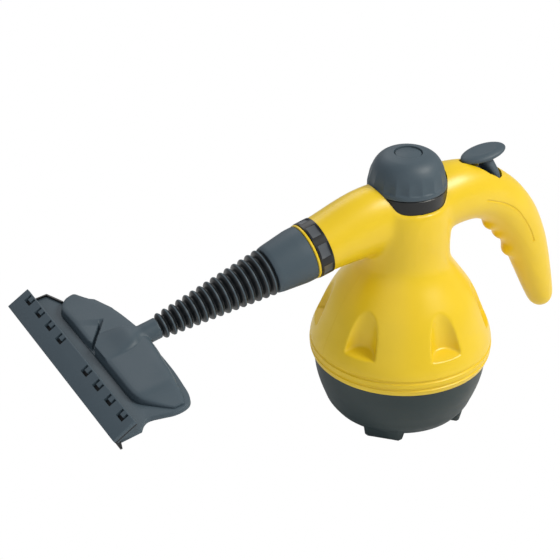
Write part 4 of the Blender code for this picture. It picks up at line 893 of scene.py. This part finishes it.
print("stage: head cover")
cover = {
    "low": -3.2,
    "hump": [  # place ahead, rise, half height, half width and squareness
        (0, 0, 7.9, 7.9, 2), (8.2, 0, 7.9, 7.9, 2), (14.9, 0, 7.9, 8.9, 2.1),
        (25.7, 1.2, 6.2, 13.8, 2.5), (39.6, 0.4, 4.0, 17.4, 3), (49.5, 0, 2.9, 18.2, 3.5),
    ],
    "onNeck": 3,
    "humpSides": 64,
    "humpPoints": 40,
    "fan": [  # place across, rear, front and share of the full rise
        (-80, 34.5, 38, 0.35), (-76, 33, 44, 0.7), (-70, 30.5, 49, 0.85), (-63, 27, 52, 0.95),
        (-50, 21, 52, 1), (-38, 17, 52, 1), (-20, 14, 52, 1), (0, 12, 52, 1), (20, 12.5, 52, 1),
        (40, 15, 52, 1), (55, 16.5, 52, 1), (63, 18, 51, 0.95), (69, 19, 48, 0.62), (75, 20, 43, 0.36),
        (82, 22, 37, 0.15), (87, 24, 32, 0.05),
    ],
    "fanPoints": 80,
    "fanSteps": 16,
    "fanRise": (1.2, 5.4),
    "fanSquareness": 9,
    "fanFall": (0.82, 0.18),  # share of the rise at the front, and what the rear adds
    "edge": 1,
    "sunk": 3,
    "voxel": 0.7,
    "floorFrom": 9.9,
    "floorSize": (240, 240, 16),
    "channel": (3.0, -12, 17),
}
slantBand = {
    "from": (32.5, -30),
    "to": (54.5, 1),
    "before": 2,
    "beyond": 4,
    "beside": 0.6,
    "above": 0.6,
    "width": 22,
    "depth": 1.7,
    "fadeOver": 6,
    "creaseWidth": 2.5,
    "creaseDepth": 4.8,
    "leave": 0.5,
}


# A rounded rectangle across the head, squarer as its last measure grows.
def flatRing(reach, rise, halfHeight, halfWidth, squareness, turn):
    ring = []
    for angle in around(cover["humpSides"]):
        side = halfWidth * math.copysign(abs(math.sin(angle)) ** (2 / squareness), math.sin(angle))
        up = halfHeight * math.copysign(abs(math.cos(angle)) ** (2 / squareness), math.cos(angle))
        ring.append(turn @ Vector((reach, side, rise + up)))
    return ring


# One cross-section of the wide cover, from its rear edge over its back to its front edge.
def fanRing(y, rear, front, share):
    low = cover["low"]
    base, extra = cover["fanRise"]
    atFront, atRear = cover["fanFall"]
    edge = low + cover["edge"]
    top = low + base + extra * share
    ring = [(rear, y, low - cover["sunk"])]
    for step in range(cover["fanSteps"] + 1):
        along = step / cover["fanSteps"]
        swell = (1 - abs(2 * along - 1) ** cover["fanSquareness"]) ** 0.5
        height = (top - low - cover["edge"]) * swell * (atFront + atRear * (1 - along))
        ring.append((rear + (front - rear) * along, y, edge + height))
    ring.append((front, y, low - cover["sunk"]))
    return [Vector(point) for point in ring]


# Sinks the slanting band behind its front line, deepest in the crease along that line.
def sunkBand(made):
    start = Vector(slantBand["from"])
    run = Vector(slantBand["to"]) - start
    along = run.normalized()
    before, width = slantBand["before"], slantBand["width"]
    intoHead = headFrame.inverted()
    down = headFrame.to_3x3() @ Vector((0, 0, -1))
    for vertex in made.data.vertices:
        local = intoHead @ vertex.co
        offset = local.xy - start
        reach = offset.dot(along)
        side = along.x * -offset.y + along.y * offset.x
        beyond = not -before < reach < run.length + slantBand["beyond"]
        beside = not -slantBand["beside"] < side < width
        if local.z < cover["low"] + slantBand["above"] or beyond or beside:
            continue
        fade = min(1, (reach + before) / slantBand["fadeOver"])
        depth = slantBand["depth"] * (1 - max(0, side) / width) * fade
        if side < slantBand["creaseWidth"]:
            depth = slantBand["creaseDepth"] * fade
        vertex.co += down * min(depth, local.z - cover["low"] - slantBand["leave"])


neckInHead = headFrame.inverted() @ neckFrame
rings = []
for number, measures in enumerate(cover["hump"]):
    rings.append(flatRing(*measures, neckInHead if number < cover["onNeck"] else Matrix()))
count = cover["humpPoints"]
rows = [spread([ring[index] for ring in rings], count) for index in range(cover["humpSides"])]
hump = loft("hump", [[row[step] for row in rows] for step in range(count)], headFrame)
places = spread([station[:3] for station in cover["fan"]], cover["fanPoints"])
shares = spread([(station[3], 0) for station in cover["fan"]], cover["fanPoints"])
fan = loft("fan", [fanRing(*place, share.x) for place, share in zip(places, shares)], headFrame)
combined(hump, [fan], "UNION")
melted(hump, cover["voxel"], 1)
sunkBand(hump)
floorLong, _, floorTall = cover["floorSize"]
floorTurn = headFrame @ moved(cover["floorFrom"] + floorLong / 2, 0, cover["low"] - floorTall / 2)
shellFloor = roundedBox("shell_floor", cover["floorSize"], floorTurn, 0)
channel = rod("channel", *cover["channel"], neckFrame @ turned(90, "Y"), 48)
combined(hump, [shellFloor, channel], "DIFFERENCE")
finished(hump, "head_shell_cover", "head_body", ["head_shell"], [slatePlastic], sharp=40)

print("stage: head base")
sole = {
    "nearEdge": [
        (12.6, 9.7), (12.8, 30), (13.5, 50), (15, 66), (16.5, 78), (19.5, 86), (25, 89.5), (33, 90),
        (41, 87.5), (50, 85), (55, 87), (59, 92),
    ],
    "nearPoints": 60,
    "nearEnd": (75.4, 93.1),
    "farEdge": [
        (75.4, -93.1), (64, -96), (50.5, -96), (44, -78.5), (37, -80.5), (31, -77), (23, -68), (17, -50),
        (14, -30), (12.6, -9.7),
    ],
    "thick": 4.0,
    "gap": 0.2,
    # Inner edge, thickness and height of the painted shadow strip along the far rear edge.
    "shadowStripInner": [(45.3, -78.2), (51.4, -94.8), (64, -94.8)],
    "shadowStripThick": 2.1,
    "shadowStripMiddle": -2.95,
}
outline = spreadFlat(sole["nearEdge"], sole["nearPoints"]) + [sole["nearEnd"]] + sole["farEdge"]
soleTurn = headFrame @ moved(z=cover["low"] - sole["gap"] - sole["thick"] / 2)
plate = extruded("sole", outline, sole["thick"], soleTurn)
finished(plate, "head_base_plate", "head_body", ["head_base"], [slatePlastic], bevel=0.7)
# A black strip along the far rear edge of the base, tied to no part: painted shadow in the joint between
# cover and base.
shadowStripTurn = headFrame @ moved(z=sole["shadowStripMiddle"])
rim = extruded("rim", sole["farEdge"][1:4] + sole["shadowStripInner"], sole["shadowStripThick"], shadowStripTurn)
finished(rim, "head_far_painted_shadow", "head_body", [], [blackPlastic])

print("stage: blade")
blade = {
    "reach": 81.5,
    "rise": 0.5,
    "slope": 24,
    "span": 193.0,
    "deep": 19.5,
    "thick": 3.0,
    "edge": 0.5,
    "cheek": [(75.2, 2), (75.2, -3.2), (65.5, -3.2), (64.7, 6.4)],
    "cheekAt": 93.9,
    "cheekThick": 1.96,
    "slots": (23.5, 20.0, 4),  # the first one's place across, their pitch, and how many on each side
    "slotSize": (6.2, 9.5),
    "slotAt": 15.4,
    "slotArm": 2.5,
    "slotDeep": 9,
    "clipSize": (14.4, 1.8),
    "clipShort": 1.6,
    "clipAt": (8.6, 4.8),
    "clipEdge": 0.4,
    "rubberSize": (1.8, 191, 8.3),
    "rubberAt": (76.5, -6.15),
    "rubberEdge": 0.4,
    "sheetSize": (19.0, 1.1),
    "sheetShort": 0.4,
    "sheetAt": (9.6, 3.45),
    "sheetEdge": 0.3,
}
bladeTurn = headFrame @ moved(blade["reach"], 0, blade["rise"]) @ turned(180 + blade["slope"], "Y")


# A C-shaped slot, open towards the hose.
def slotAt(side):
    x, y = (size / 2 for size in blade["slotSize"])
    arm = blade["slotArm"]
    letter = [(x, y), (-x, y), (-x, -y), (x, -y), (x, -y + arm), (-x + arm, -y + arm)]
    letter += [(-x + arm, y - arm), (x, y - arm)]
    middle = bladeTurn @ moved(blade["slotAt"], side, blade["thick"] / 2)
    return extruded("slot", letter, blade["slotDeep"], middle)


plateSize = (blade["deep"], blade["span"], blade["thick"])
plateTurn = bladeTurn @ moved(blade["deep"] / 2, 0, blade["thick"] / 2)
plate = roundedBox("blade", plateSize, plateTurn, blade["edge"])
cheeks = []
for side in (-1, 1):
    cheekTurn = headFrame @ upright(0, 0, side * blade["cheekAt"])
    cheeks.append(extruded("cheek", blade["cheek"], blade["cheekThick"], cheekTurn))
combined(plate, cheeks, "UNION")
first, step, count = blade["slots"]
places = [first + step * number for number in range(count)]
combined(plate, [slotAt(side) for side in [-place for place in places] + places], "DIFFERENCE")
finished(plate, "squeegee_blade_plate", "head_body", ["squeegee_plate"], [slatePlastic])

clipDeep, clipThick = blade["clipSize"]
clipAt, clipRise = blade["clipAt"]
clipSize = (clipDeep, blade["span"] - blade["clipShort"], clipThick)
strip = roundedBox("strip", clipSize, bladeTurn @ moved(clipAt, 0, clipRise), blade["clipEdge"])
finished(strip, "blade_clip_strip", "head_body", ["blade_clip"], [slatePlastic])

rubberAt, rubberRise = blade["rubberAt"]
rubberTurn = headFrame @ moved(rubberAt, 0, rubberRise)
rubber = roundedBox("rubber_edge", blade["rubberSize"], rubberTurn, blade["rubberEdge"])
# A thin black rubber sheet under the whole plate, joined to the blade strip: the rubber under the plate,
# and painted shade that keeps the open slots dark.
sheetDeep, sheetThick = blade["sheetSize"]
sheetAt, sheetRise = blade["sheetAt"]
sheetSize = (sheetDeep, blade["span"] - blade["sheetShort"], sheetThick)
slotShadeSheet = roundedBox("rubber_sheet_slot_shade", sheetSize, bladeTurn @ moved(sheetAt, 0, sheetRise), blade["sheetEdge"])
combined(rubber, [slotShadeSheet], "UNION")
finished(rubber, "rubber_blade_strip", "head_body", ["rubber_blade"], [blackRubber])
